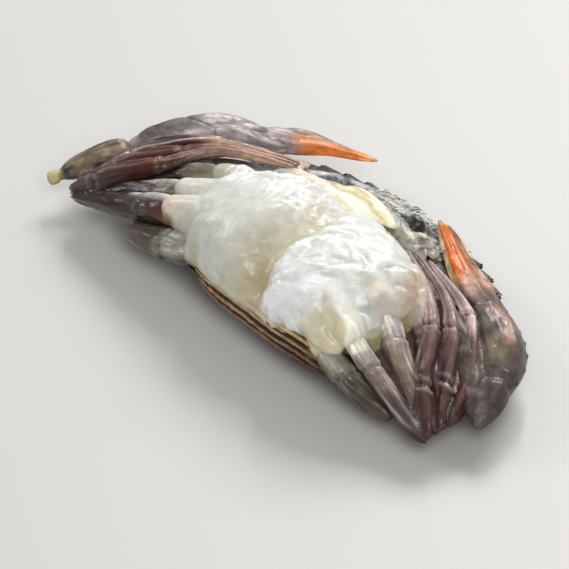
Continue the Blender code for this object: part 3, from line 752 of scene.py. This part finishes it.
for _ in range(BRISTLES):
    t = chance.uniform(BRISTLE_FIRST, BRISTLE_LAST)
    out = chance.uniform(-2.6, 3.4) * (1.0 - 0.5 * abs(t - 0.6))
    rise = 1.65 - 0.16 * (out + 1.0) ** 2 / 2.0 + chance.uniform(-0.2, 0.4)
    root = torn_edge(t) + Vector((0.4 * out, out, rise))
    if math.hypot(root.x - DARK_KNOB[1][0], root.y - DARK_KNOB[1][1] - 0.4) < KNOB_ROOM:
        continue
    turn = chance.gauss(BRISTLE_TURN, 0.45)
    cos, sin = math.cos(turn), math.sin(turn)
    long, droop = chance.uniform(0.6, 1.2), chance.uniform(-0.35, 0.05)
    copy = blade.copy()
    copy.data = blade.data.copy()
    bpy.context.collection.objects.link(copy)
    x, y, z = (blade_shape * (1.0, long, 1.0)).T
    turned = np.stack((cos * x - sin * y, sin * x + cos * y, z + droop * y), axis=1)
    move_points(copy, turned + np.array(root))
    bristles.append(copy)
bpy.data.objects.remove(blade)
pick(*bristles)
bpy.ops.object.join()
gill = bristles[0]
gill.name = gill.data.name = "gill_bristles"
places = points_of(gill)[0]
places[:, 2] = np.maximum(places[:, 2], 0.0)
move_points(gill, places)
paint_points(gill, TORN_GREY, [(BRISTLE_WHITE, eased(lumps(places, 1.6, 17.0), -0.35, 0.2))])
settle(gill, torn_flesh)

# The rear folds: the tail flap was pulled off here, which left long parallel folds of soft skin across
# the rear of the breast, cream on top and brown below, with painted shade in their creases and towards the
# right.
FOLDS = 5
FOLD_LINE = ((-20.2, -15.6, 9.0), (-6.6, -17.2, 10.4), (8.0, -17.2, 10.2), (20.6, -15.2, 8.0))
FOLD_HALF_HEIGHT, FOLD_THICKNESS_SHARE = 4.6, 0.36
FOLD_VOXEL = 0.22
FOLD_STEPS = 200
FOLD_DEPTH = 0.75
FOLD_CREST_WIDTHS = (0.46, 0.3, 0.24, 0.2, 0.2, 0.2)
FOLD_CREAM = (0.64, 0.46, 0.20)
FOLD_TAN = (0.23, 0.145, 0.065)
FOLD_PINK = (0.26, 0.155, 0.095)
FOLD_BROWN = (0.062, 0.032, 0.014)
FOLD_PAINTED_SHADE = (0.022, 0.012, 0.007)
line = route(FOLD_LINE)
radius = FOLD_HALF_HEIGHT * FOLD_THICKNESS_SHARE
slab = limb("slab", line, (radius, radius), 1.0 / FOLD_THICKNESS_SHARE, power=4.0)
folds = grown_together("rear_folds", [slab], smoothing=4, voxel=FOLD_VOXEL)


def fold_levels(places):
    """Which fold each place is on, counted down from the top line, with a part for its place in it."""
    share = near_route(places, line, FOLD_STEPS)[0]
    middles = np.array([line(t) for t in np.linspace(0.0, 1.0, FOLD_STEPS + 1)])
    middles = middles[np.round(share * FOLD_STEPS).astype(int)]
    half = FOLD_HALF_HEIGHT * np.maximum(1.0 - abs(2.0 * share - 1.0) ** 4, 0.03) ** 0.5
    height = (places[:, 2] - middles[:, 2]) / half
    wander = lumps(np.stack((places[:, 0], 6.0 * height, 0.0 * height), axis=1), 9.0, 5.0)
    return (1.0 - height) * 0.5 * FOLDS + 0.35 * wander


places = points_of(folds)[0]
levels = fold_levels(places)
creases = abs(np.sin(math.pi * levels))
small = 0.1 * lumps(places * (0.1, 1.0, 1.0), 0.8)
swell(folds, FOLD_DEPTH * (0.5 - creases**0.6) + small + 0.15 * lumps(places, 3.5))
places = points_of(folds)[0]
threads = lumps(places * (0.07, 1.0, 1.0), 0.7, 3.0)
rightwards = eased(places[:, 0] + 3.0 * threads, 2.0, 14.0)
in_creases = 0.9 * eased(creases + 0.25 * threads, 0.35, 0.85)
coats = [
    (FOLD_BROWN, eased(levels + 0.8 * threads, 0.7, 2.2)),
    # Painted shade: darker towards the right, and dark in the creases.
    (FOLD_PAINTED_SHADE, 0.5 * rightwards * eased(levels, 0.6, 1.6)),
    (FOLD_PAINTED_SHADE, in_creases * (0.6 + 0.4 * rightwards)),
]
for fold, width in enumerate(FOLD_CREST_WIDTHS):
    crest = faded(abs(levels - fold + 0.08 * threads), 0.1, width)
    hue = mix(Vector(FOLD_CREAM), Vector(FOLD_PINK), min(1.0, fold / (FOLDS - 1.0)))
    # The crests fade towards the right as part of the same painted shade.
    coats.append((hue, crest * (1.0 - (0.15 + 0.13 * fold) * rightwards)))
tan = 0.8 * eased(places[:, 0] + 1.5 * threads, 12.0, 15.0) * faded(levels, 3.2, 4.0)
paint_points(folds, FOLD_TAN, [*coats, (FOLD_TAN, tan)])
skin = WetSkin("fold_skin", roughness=0.5, subsurface=0.2, depth_mm=0.6, film=0.2)
skin.tinted(skin.shades(skin.clouds(1.5, 3.0, 0.5), (0.3, 0.75), (0.7, 1.3)))
skin.relief(skin.clouds(0.8), 0.12)
settle(folds, skin)

# The walking legs: three on each side. The thigh runs out to the knee, and the wrist, hand and
# point come back along the front. Their thin dark skin is grey near the hip and red brown or
# purple brown further out.
SIDES = {RIGHT: "right", LEFT: "left"}
STRAND = {
    RIGHT: (
        ((42.6, -9.2, 6.4), (42.2, -14.6, 5.6)),
        ((38.0, 0.0, 8.5), (34.0, -7.5, 11.8)),
        ((32.5, 6.0, 10.5), (28.6, -0.3, 15.2)),
        ((26.0, 11.0, 12.0), (21.0, 5.2, 17.2)),
        ((14.0, 12.4, 16.2), (10.8, 9.6, 18.6)),
    ),
    LEFT: (
        ((-54.4, -12.6, 8.0), (-55.4, -16.2, 6.6)),
        ((-50.5, -4.2, 11.5), (-49.4, -12.2, 11.2)),
        ((-44.0, 3.4, 14.0), (-42.0, -5.0, 15.0)),
        ((-35.6, 9.0, 15.6), (-35.2, 4.4, 17.4)),
        ((-22.5, 14.2, 16.5), (-20.0, 11.2, 18.6)),
    ),
}
THIGH_RADII = {RIGHT: ((2.5, 1.9), (2.8, 1.9), (2.15, 1.75)), LEFT: ((2.3, 1.35), (2.5, 1.35), (3.1, 1.4))}
THIGH_LAP = 0.12
THIGH_SWELLING = {RIGHT: 0.08, LEFT: 0.18}
STRAND_JOINTS = ((0.25, 0.70), (0.22, 0.55), (0.20, 0.52))
JOINT_DEPTHS = {RIGHT: (0.1, 0.12, 0.14), LEFT: (0.03, 0.08, 0.06)}
WRIST_RADII = {RIGHT: (1.9, 2.0), LEFT: (1.6, 2.3)}
HAND_RADII = {RIGHT: (2.0, 1.8), LEFT: (2.3, 2.0)}
POINT_RADII = {RIGHT: (1.8, 0.8), LEFT: (1.9, 0.7)}
LIMB_HEIGHT_SHARE = 1.1
LIMB_STEPS = 60
LIMB_SIDES, SIDES_TURN, SIDES_HEIGHT = 4, 1.2, 0.42
ISCHIUM_SHARE = {RIGHT: (0.06, 0.16, 0.17), LEFT: (0.12, 0.12, 0.12)}
ISCHIUM_LILAC = ((0.22, 0.15, 0.14), (0.50, 0.46, 0.43), (0.46, 0.41, 0.385))
ISCHIUM_COVER = {RIGHT: 1.0, LEFT: 0.4}
THIGH_GREY = ((0.14, 0.09, 0.08), (0.36, 0.29, 0.22), (0.33, 0.255, 0.21))
THIGH_PAINTED_HIGHLIGHT = (0.50, 0.53, 0.55)
KNEE_BROWN = (0.068, 0.034, 0.030)
STRAND_BROWN = (0.125, 0.072, 0.068)
STRAND_PINK = (0.62, 0.46, 0.43)
PINK_COVER = (0.95, 0.45, 0.7)
BAND_HUES = ((0.046, 0.020, 0.020), (0.072, 0.020, 0.011), (0.072, 0.020, 0.011))
BAND_GREY = (0.058, 0.034, 0.032)
BAND_PALE = (0.58, 0.36, 0.27)
BAND_PAINTED_HIGHLIGHT = (0.62, 0.48, 0.42)
STRIP_WHITE = (0.80, 0.79, 0.75)
STRIP_WIDTHS, STRIP_COVER = (0.16, 0.3, 0.36), (0.3, 0.6, 0.95)
WEDGE_DARK = (0.030, 0.016, 0.014)
LEFT_ROOT_HUES = ((0.20, 0.17, 0.12), (0.20, 0.17, 0.12), (0.075, 0.028, 0.016))
LEFT_ROOT_SHIFT = (0.0, 0.0, 0.09)
LEG_PAINTED_SHADE = (0.012, 0.007, 0.006)
RIM_LILAC = (0.50, 0.41, 0.39)
RIM_COVER = {RIGHT: 0.35, LEFT: 0.12}


def lay_along(obj, *paths):
    """Stores each point's place on the limb laid out straight, as "lie". Returns it in millimetres,
    and the share of the way along the paths."""
    places = points_of(obj)[0]
    stations, frames, starts = [], [], []
    start = 0.0
    for path in paths:
        line = [path(k / LIMB_STEPS) for k in range(LIMB_STEPS + 1)]
        for k, station in enumerate(line):
            onward = line[min(k + 1, LIMB_STEPS)]
            tangent = (onward - line[max(k - 1, 0)]).normalized()
            across = tangent.cross(Vector((0.0, 0.0, 1.0))).normalized()
            stations.append(station)
            frames.append((tangent, across, across.cross(tangent)))
            starts.append(start)
            start += (onward - station).length
    stations, frames, starts = np.array(stations), np.array(frames), np.array(starts)
    nearest = nearest_on(stations, places)
    lie = np.einsum("nij,nj->ni", frames[nearest], places - stations[nearest])
    lie[:, 0] += starts[nearest]
    layer = obj.data.attributes.new("lie", "FLOAT_VECTOR", "POINT")
    layer.data.foreach_set("vector", (lie * MM).astype(np.float32).ravel())
    return lie, nearest / len(stations)


def facets(lie, count, turn):
    """Flat sides along a limb with crisp ridges between them: 0 on a ridge, -1 in the middle of a side."""
    wander = 0.5 * lumps(lie * (1.0, 0.0, 0.0) + (0.0, turn, 0.0), 12.0)
    angle = np.arctan2(lie[:, 2], lie[:, 1])
    return -abs(np.sin(0.5 * count * (angle - turn - wander)))


def off_joint(lie, station):
    """How far along the limb each place is from a joint, which lies a little askew."""
    return lie[:, 0] - station + 0.25 * lie[:, 1]


def crease_limb(obj, lie, joints, facet_height, turn=SIDES_TURN):
    """Shapes a limb: flat sides, grooves between raised rims at its joints, long ridges and small
    wrinkles. Each joint is (how far along, how deep), in millimetres."""
    ridges = lumps(lie * (1.0 / 11.0, 1.0 / 1.8, 1.0 / 1.8), 1.0)
    small = lumps(lie * (1.0 / 2.4, 1.0, 1.0), 1.0, 7.0)
    rings = near_joints = 0.0
    for station, depth in joints:
        off = off_joint(lie, station)
        rings = rings + depth * (stripe(abs(off) - 1.0, 0.55) - 1.6 * stripe(off, 0.4))
        near_joints = near_joints + stripe(lie[:, 0] - station, 2.5)
    knobbly = (0.12 + 0.16 * near_joints) * small
    sides = facet_height * (facets(lie, LIMB_SIDES, turn) + 0.5)
    swell(obj, sides + rings + 0.34 * ridges + knobbly - 0.24)


def length_of(path, last=1.0):
    """How long a path is in millimetres, up to this share of it."""
    line = [path(last * k / LIMB_STEPS) for k in range(LIMB_STEPS + 1)]
    return sum((end - start).length for start, end in zip(line, line[1:]))


leg_skin = WetSkin("leg_skin", roughness=0.38, subsurface=0.15, depth_mm=0.8, film=1.0, film_roughness=0.07)
streaks = leg_skin.clouds(1.5, 4.0, 0.6, 0.0, leg_skin.along_limb(0.12))
leg_skin.tinted(
    leg_skin.shades(streaks, (0.32, 0.55), (0.5, 0.95), (0.68, 1.7)),
    leg_skin.shades(leg_skin.clouds(2.0, 4.0, 0.65), (0.3, 0.7), (0.7, 1.3)),
)
leg_skin.relief(leg_skin.clouds(0.8, 3.0, 0.6, 0.0, leg_skin.along_limb(0.2)), 0.25, 0.8)

for side, word in SIDES.items():
    for number in range(WALKING_LEGS):
        thigh, strand = limb_route(THIGH, side, number), limb_route(STRAND, side, number)
        hip = HIP_SHARE[side][number]
        ischium_end = hip + ISCHIUM_SHARE[side][number]
        wrist_end, hand_end = STRAND_JOINTS[number]
        high = LIMB_HEIGHT_SHARE
        thigh_shown, swelling = stretch(thigh, hip - THIGH_LAP, 1.0), THIGH_SWELLING[side]
        hand = stretch(strand, wrist_end - 0.02, hand_end + 0.02)
        parts = [
            limb("thigh", thigh_shown, THIGH_RADII[side][number], high, 8.0, swelling),
            limb("wrist", stretch(strand, 0.0, wrist_end + 0.02), WRIST_RADII[side], high, 6.0),
            limb("hand", hand, HAND_RADII[side], high, 10.0, 0.08),
            limb("point", stretch(strand, hand_end - 0.03, 1.0), POINT_RADII[side], 1.0, 8.0),
        ]
        leg = grown_together(f"leg_{word}_{number + 1}", parts, smoothing=3)
        lie, share = lay_along(leg, thigh, strand)
        knee = length_of(thigh)
        stations = (
            length_of(thigh, ischium_end),
            knee + length_of(strand, wrist_end),
            knee + length_of(strand, hand_end),
        )
        crease_limb(leg, lie, list(zip(stations, JOINT_DEPTHS[side])), SIDES_HEIGHT)
        outward = share * 2.0 + 0.1 * lumps(points_of(leg)[0], 4.0, number)
        on_strand = eased(share, 0.49, 0.51)
        on_top = eased(lie[:, 2], -0.8, 0.8)
        coats = [(ISCHIUM_LILAC[number], eased(outward, hip, hip + 0.06) * ISCHIUM_COVER[side])]
        if side == RIGHT:
            # Painted highlight: a pale blue white line along the right thighs' upper outer side.
            strip = stripe(0.8 * lie[:, 1] + lie[:, 2] - 1.9, 0.3) * eased(outward, hip + 0.1, hip + 0.2)
            coats += [
                (THIGH_GREY[number], eased(outward, ischium_end - 0.03, ischium_end + 0.03)),
                (KNEE_BROWN, eased(outward, 0.6, 0.9)),
                (THIGH_PAINTED_HIGHLIGHT, 0.75 * strip * faded(outward, 0.8, 0.98)),
                (STRAND_BROWN, eased(outward, 1.1, 1.4) * on_strand),
                (STRAND_PINK, PINK_COVER[number] * eased(outward, 1.42, 1.7) * on_strand),
            ]
        else:
            angle = np.arctan2(lie[:, 2], lie[:, 1])
            wander = 0.12 * lumps(lie * (0.5, 1.0, 1.0), 3.0, 37.0)
            start = hip - LEFT_ROOT_SHIFT[number]
            strip = stripe(angle - 1.2 - wander, STRIP_WIDTHS[number]) * eased(outward, hip - 0.2, hip - 0.1)
            # Painted highlight: paler lines along the ridges on the top of the band.
            edges = facets(lie, LIMB_SIDES, SIDES_TURN) + 0.1 * lumps(lie, 2.0)
            edges = eased(edges, -0.16, -0.04) * on_top
            coats += [
                (LEFT_ROOT_HUES[number], eased(outward + wander, start - 0.10, start + 0.02)),
                (WEDGE_DARK, eased(outward + wander, start + 0.08, start + 0.2)),
                (STRIP_WHITE, STRIP_COVER[number] * strip * faded(outward, hip + 0.12, hip + 0.24)),
                (BAND_GREY, on_strand),
                (BAND_HUES[number], eased(outward, 1.2, 1.4) * on_strand),
                (BAND_PALE, 0.85 * eased(outward, 1.5, 1.85) * on_strand),
                # Painted highlight on the band's top ridges.
                (BAND_PALE, 0.5 * edges * on_strand * eased(outward, 1.45, 1.65)),
            ]
            if number == 0:
                # Painted highlight: a thin pale line along the upper front of the first strand.
                highlight_line = stripe(angle - 1.15 + 2.0 * wander, 0.11) * on_strand
                coats.append((BAND_PAINTED_HIGHLIGHT, 0.6 * highlight_line * eased(outward, 1.08, 1.2) * faded(outward, 1.6, 1.8)))
        rims = sum(stripe(abs(off_joint(lie, station)) - 1.0, 0.45) for station in stations)
        coats += [
            (RIM_LILAC, RIM_COVER[side] * rims * on_top),
            # Painted shade: darker on the undersides and in the creases.
            (LEG_PAINTED_SHADE, 0.6 * (1.0 - on_top) * eased(outward, hip, hip + 0.2)),
            (LEG_PAINTED_SHADE, 0.85 * eased(hollows(leg, 8), 0.03, 0.2)),
        ]
        paint_points(leg, HIP_HUES[side][number], coats)
        settle(leg, leg_skin)

# The swimming legs: the rear pair, paler than the others, in the same thin wet skin. Each grows out of
# the breast's rear corner, bends at the knee and ends in a flat oval paddle, tucked in beside the shell.
PADDLE = {
    RIGHT: ((32.5, -14.4, 4.6), (35.5, -8.0, 4.4), (39.5, -1.5, 4.2)),
    LEFT: ((-36.5, -14.8, 6.6), (-41.5, -8.0, 4.8), (-47.0, -2.5, 3.6)),
}
PADDLE_RADII, PADDLE_HEIGHT_SHARE = (2.6, 3.6), 0.4
SWIMMER_START, SWIMMER_JOINT, SWIMMER_JOINT_DEPTH = 0.3, 0.56, 0.15
SWIMMER_GREY = (0.30, 0.30, 0.235)
SWIMMER_BROWN = (0.07, 0.055, 0.042)
for side, word in SIDES.items():
    thigh, paddle = route(SWIMMING_THIGH[side]), route(PADDLE[side])
    radii = SWIMMING_THIGH_RADII[side]
    leg = grown_together(f"swimming_leg_{word}", [
        limb("thigh", stretch(thigh, SWIMMER_START, 1.0), radii, LIMB_HEIGHT_SHARE, 8.0, 0.1),
        limb("paddle", paddle, PADDLE_RADII, PADDLE_HEIGHT_SHARE),
    ], smoothing=3)
    lie, share = lay_along(leg, thigh, paddle)
    crease_limb(leg, lie, [(length_of(thigh, SWIMMER_JOINT), SWIMMER_JOINT_DEPTH)], 0.4, 1.0)
    outward = share * 2.0 + 0.12 * lumps(points_of(leg)[0], 3.0)
    paint_points(leg, SWIMMER_GREY, (
        (SWIMMER_BROWN, eased(outward, 0.45, 0.75)),
        # Painted shade: darker brown on the underside.
        (SWIMMER_BROWN, 0.9 * eased(-lie[:, 2], -0.3, 1.5)),
        # Painted shade: dark in the creases.
        (LEG_PAINTED_SHADE, 0.7 * eased(hollows(leg, 8), 0.03, 0.2)),
    ))
    settle(leg, leg_skin)

# The claws: soft thick skin over muscle. Each has an arm out to the elbow, a wrist, a swollen palm that
# comes back, with small spines along its outer side, and two fingers, orange inside. The left one is
# lilac grey with fine plate borders, and the right one grey brown.
CLAW = {
    RIGHT: {
        "arm": ((18.0, 9.0, 12.0), (32.0, 5.0, 9.0), (46.0, -5.5, 6.6)),
        "wrist": ((46.5, -6.5, 6.0), (44.0, 0.0, 7.0), (41.0, 4.0, 7.4)),
        "palm": ((43.5, 0.5, 6.8), (37.4, 9.3, 7.6), (30.5, 13.8, 8.4), (22.5, 16.0, 10.0)),
        "inner": ((24.0, 15.6, 10.8), (16.8, 18.0, 11.8), (10.2, 21.6, 12.2), (3.2, 25.8, 12.0)),
        "outer": ((25.5, 18.8, 9.4), (18.6, 20.4, 10.2), (11.4, 23.5, 10.8), (3.8, 26.4, 11.2)),
    },
    LEFT: {
        "arm": ((-20.0, 9.0, 12.0), (-36.0, 6.0, 10.6), (-57.0, -13.5, 6.4)),
        "wrist": ((-61.4, -17.2, 6.0), (-58.6, -9.0, 7.6), (-54.0, -1.2, 9.4)),
        "palm": ((-55.0, -3.0, 7.6), (-51.6, 7.0, 8.0), (-46.0, 15.2, 8.4), (-36.0, 20.2, 9.4)),
        "inner": ((-37.0, 20.4, 9.6), (-31.6, 25.2, 9.3), (-26.2, 28.8, 8.8), (-20.1, 32.3, 8.2)),
        "outer": ((-39.2, 23.6, 8.8), (-33.6, 27.1, 8.7), (-27.4, 29.8, 8.4), (-20.5, 32.7, 8.0)),
    },
}
ELBOW_KNOB = ((-61.8, -17.0, 6.1), (-61.0, -15.6, 6.4), (-60.2, -14.2, 6.6))
ELBOW_RADII = (1.75, 1.75)
CLAW_ARM_RADII = (3.6, 3.4)
CLAW_WRIST_RADII = (1.9, 3.8)
CLAW_WRIST_START = {RIGHT: 0.0, LEFT: 0.14}
FINGER_RADII = {
    RIGHT: {"inner": (3.1, 1.1), "outer": (2.7, 0.9)},
    LEFT: {"inner": (2.7, 0.8), "outer": (2.4, 0.7)},
}
KNUCKLE_SHARE, KNUCKLE_RADII = 0.78, {"inner": 3.6, "outer": 3.2}
PALM_RADII, PALM_HEIGHT_SHARE, PALM_POWER = (5.8, 4.6), 0.9, 2.4
CLAW_SIDES, CLAW_SIDES_TURN = 5, 0.9
PALM_FLATNESS = {RIGHT: 0.1, LEFT: 0.35}
PLATE_SIZE, PLATE_BORDER = 8.5, 0.05
SPINES, SPINE_LENGTH, SPINE_RADII = 8, 1.1, (1.3, 0.35)
FIRST_SPINE, LAST_SPINE = 0.16, 0.9
PALM_BROWN = (0.092, 0.064, 0.053)
PALM_GREY = (0.24, 0.195, 0.18)
PALM_OLIVE = (0.22, 0.18, 0.09)
PALM_PINK = (0.46, 0.25, 0.19)
KNUCKLE_WHITE = (0.82, 0.60, 0.50)
OLIVE_SPOT = (37.0, 7.0, 13.0)
KNUCKLE_SPOT = (22.6, 17.2)
PALM_PAINTED_HIGHLIGHT = ((28.8, 15.6), (33.6, 14.6), (37.2, 11.0))
PALM_LILAC = (0.46, 0.395, 0.39)
PALM_BLACK = (0.035, 0.035, 0.04)
WRIST_OLIVE = (0.20, 0.15, 0.10)
ELBOW_YELLOW = (0.48, 0.41, 0.19)
FINGER_ORANGE = {RIGHT: (0.72, 0.15, 0.008), LEFT: (0.78, 0.23, 0.055)}
FINGER_TIP = (0.66, 0.42, 0.16)
FINGER_PINK = (0.36, 0.19, 0.105)
FINGER_CREAM = (0.80, 0.66, 0.40)
FINGER_BROWN = (0.24, 0.11, 0.06)

claw_skin = WetSkin("claw_skin", roughness=0.46, subsurface=0.15, depth_mm=0.8, film=0.36, film_roughness=0.1)
streaks = claw_skin.clouds(2.2, 4.0, 0.6, 0.3, claw_skin.along_limb(0.6))
claw_skin.tinted(
    claw_skin.shades(streaks, (0.34, 0.62), (0.5, 0.95), (0.66, 1.4)),
    claw_skin.shades(claw_skin.clouds(1.0, 3.0, 0.6), (0.3, 0.85), (0.7, 1.15)),
)
claw_skin.relief(claw_skin.clouds(1.8, 2.0, 0.45, 0.0, claw_skin.along_limb(0.5)), 0.2, 0.6)
for side, word in SIDES.items():
    joints = {name: route(points) for name, points in CLAW[side].items()}
    fingers, wrist, palm = FINGER_RADII[side], joints["wrist"], joints["palm"]
    parts = [
        limb("arm", joints["arm"], CLAW_ARM_RADII),
        limb("wrist", stretch(wrist, CLAW_WRIST_START[side], 1.0), CLAW_WRIST_RADII, 1.0, 5.0, 0.1),
        limb("palm", palm, PALM_RADII, PALM_HEIGHT_SHARE, PALM_POWER),
    ]
    if side == LEFT:
        parts.append(limb("elbow", route(ELBOW_KNOB), ELBOW_RADII))
    parts.extend(limb(finger, joints[finger], radii, 1.0, 5.0) for finger, radii in fingers.items())
    knuckle = palm(KNUCKLE_SHARE)
    for finger, radius in KNUCKLE_RADII.items():
        bridge = route((knuckle, mix(knuckle, joints[finger](0.15), 0.6), joints[finger](0.4)))
        parts.append(limb("knuckle", bridge, (radius, fingers[finger][0] * 0.75), 0.95))
    for k in range(SPINES):
        t = mix(FIRST_SPINE, LAST_SPINE, k / (SPINES - 1))
        root, ahead = palm(t), palm(t + 0.02) - palm(t)
        outward = Vector((ahead.y, -ahead.x, 0.0)).normalized() * side
        root += outward * (mix(*PALM_RADII, t) * rounded(t, PALM_POWER) - 0.8)
        tip = root + (outward + 0.5 * ahead.normalized()) * SPINE_LENGTH
        parts.append(limb("spine", route((root, tip)), SPINE_RADII))
    claw = grown_together(f"claw_{word}", parts, smoothing=2)
    lie = lay_along(claw, wrist, palm, joints["inner"])[0]
    palm_start = length_of(wrist)
    palm_end = palm_start + length_of(palm)
    on_palm = eased(lie[:, 0], palm_start, palm_start + 3.0)
    on_palm *= faded(lie[:, 0], palm_end - 3.0, palm_end)
    cracks = np.zeros(len(lie))
    if side == LEFT:
        plates = [noise.voronoi(Vector(place)) for place in lie * (0.6, 1.0, 1.0) / PLATE_SIZE + 2.0]
        borders = [1.0 - min(1.0, (far - near) / PLATE_BORDER) for (near, far, *_), _ in plates]
        cracks = np.array(borders) * on_palm
        tones = [(7.3 * middle.x + 3.1 * middle.y + 5.7 * middle.z) % 1.0 for _, (middle, *_) in plates]
    faces = facets(lie, CLAW_SIDES, CLAW_SIDES_TURN)
    flatness = 0.35 + PALM_FLATNESS[side] * on_palm
    wrinkles = 0.3 * lumps(lie * (0.5, 1.0, 1.0), 4.0) + 0.03 * lumps(points_of(claw)[0], 1.3)
    swell(claw, eased(lie[:, 0], 3.5, 6.0) * (flatness * (faces + 0.5) + wrinkles) - 0.15 * cracks - 0.3)

    places = points_of(claw)[0]
    x, y, z = places.T
    patches = lumps(places, 4.0, 13.0)
    outward = lie[:, 1] * side
    inner_share, inner_gap = near_route(places, joints["inner"])
    outer_share, outer_gap = near_route(places, joints["outer"])
    inner_radius = mix(*fingers["inner"], inner_share)
    inner_gap, outer_gap = inner_gap / inner_radius, outer_gap / mix(*fingers["outer"], outer_share)
    on_inner = inner_gap < outer_gap
    on_finger = faded(np.minimum(inner_gap, outer_gap), 1.5, 2.0)
    inner = on_finger * on_inner * eased(inner_share + 0.08 * patches, 0.08, 0.32)
    outer = on_finger * ~on_inner * eased(outer_share + 0.06 * patches, 0.1, 0.3)
    if side == RIGHT:
        ground = PALM_BROWN
        ridges = eased(faces + 0.15 * patches, -0.25, -0.05)
        from_olive = np.linalg.norm(places - OLIVE_SPOT, axis=1)
        pinkish = eased(2.0 * patches - x + 0.4 * y, -19.5, -15.5)
        edge = -outward / inner_radius
        cream_edge = np.maximum(eased(edge, 0.66, 0.86), eased(inner_share, 0.86, 0.97))
        groove = stripe(edge + 0.1 + 0.3 * patches, 0.12) * eased(inner_share, 0.2, 0.4)
        base = np.hypot(x - KNUCKLE_SPOT[0], y - KNUCKLE_SPOT[1]) + 0.9 * patches
        # Painted highlight: a pale pink curved line along the upper palm.
        palm_highlight_path = route([(*spot, 0.0) for spot in PALM_PAINTED_HIGHLIGHT])
        highlight_gap = near_route(places * (1.0, 1.0, 0.0), palm_highlight_path)[1] + 0.4 * patches
        coats = [
            # Partly painted highlight: grey patches, and paler grey along the facet ridges.
            (PALM_GREY, 0.7 * np.maximum(0.4 * ridges, eased(patches, -0.1, 0.5))),
            (PALM_OLIVE, 0.5 * faded(from_olive, 2.0, 5.5)),
            (PALM_PINK, 0.9 * pinkish),
            (PALM_BLACK, 0.7 * eased(outward, 3.2, 5.0) * on_palm),
            (PALM_BLACK, 0.35 * eased(x - 0.3 * y, 37.0, 42.0)),
            (FINGER_ORANGE[side], inner),
            (FINGER_CREAM, 0.85 * inner * cream_edge),
            (FINGER_BROWN, 0.6 * inner * groove),
            (KNUCKLE_WHITE, 0.42 * faded(base, 1.6, 3.8) * eased(-outward, -1.5, 0.5)),
            # Painted highlight along the palm.
            (PALM_PINK, 0.6 * faded(highlight_gap, 0.3, 1.7) * eased(z, 8.0, 10.0)),
            (FINGER_BROWN, outer),
            (FINGER_CREAM, 0.7 * outer * eased(lumps(lie * (0.2, 1.0, 1.0), 1.5, 23.0), 0.0, 0.25)),
        ]
    else:
        ground = PALM_LILAC
        brownish = 0.45 * np.array(tones) * on_palm + 0.3 * eased(-faces + 0.4 * patches, 0.6, 1.0)
        blackish = eased(5.0 * patches - x, 47.0, 52.0) + 0.8 * eased(outward + 1.5 * patches, 3.0, 4.6)
        on_wrist = faded(near_route(places, wrist)[1], 4.0, 6.0) * eased(-y, -3.0, 3.0)
        streaky = eased(lumps(lie * (0.12, 1.0, 1.0), 1.3, 29.0), 0.05, 0.3)
        upper = np.maximum(outer, inner * eased(outward / inner_radius, -0.1, 0.35))
        coats = [
            (PALM_BROWN, brownish),
            (PALM_BLACK, 0.66 * blackish * on_palm),
            (WRIST_OLIVE, on_wrist),
            (PALM_BLACK, 0.7 * on_wrist * streaky),
            (ELBOW_YELLOW, faded(lie[:, 0] + 0.3 * lie[:, 1] + patches, 2.6, 4.0)),
            (PALM_BLACK, 0.8 * stripe(lie[:, 0] - 3.9, 0.7)),
            (FINGER_ORANGE[side], inner),
            (FINGER_PINK, 0.9 * upper * (1.0 - 0.85 * eased(outer_share + 0.1 * patches, 0.35, 0.85))),
            (FINGER_TIP, 0.8 * on_finger * eased(inner_share + 0.05 * patches, 0.8, 0.95)),
            (PALM_BROWN, 0.7 * cracks),
        ]
    # Painted shade: dark in the creases, brown ones on the fingers.
    hollow = 0.8 * eased(hollows(claw, 8), 0.05, 0.3)
    coats += [(PALM_BLACK, hollow * (1.0 - on_finger)), (FINGER_BROWN, hollow * on_finger)]
    paint_points(claw, ground, coats)
    settle(claw, claw_skin)
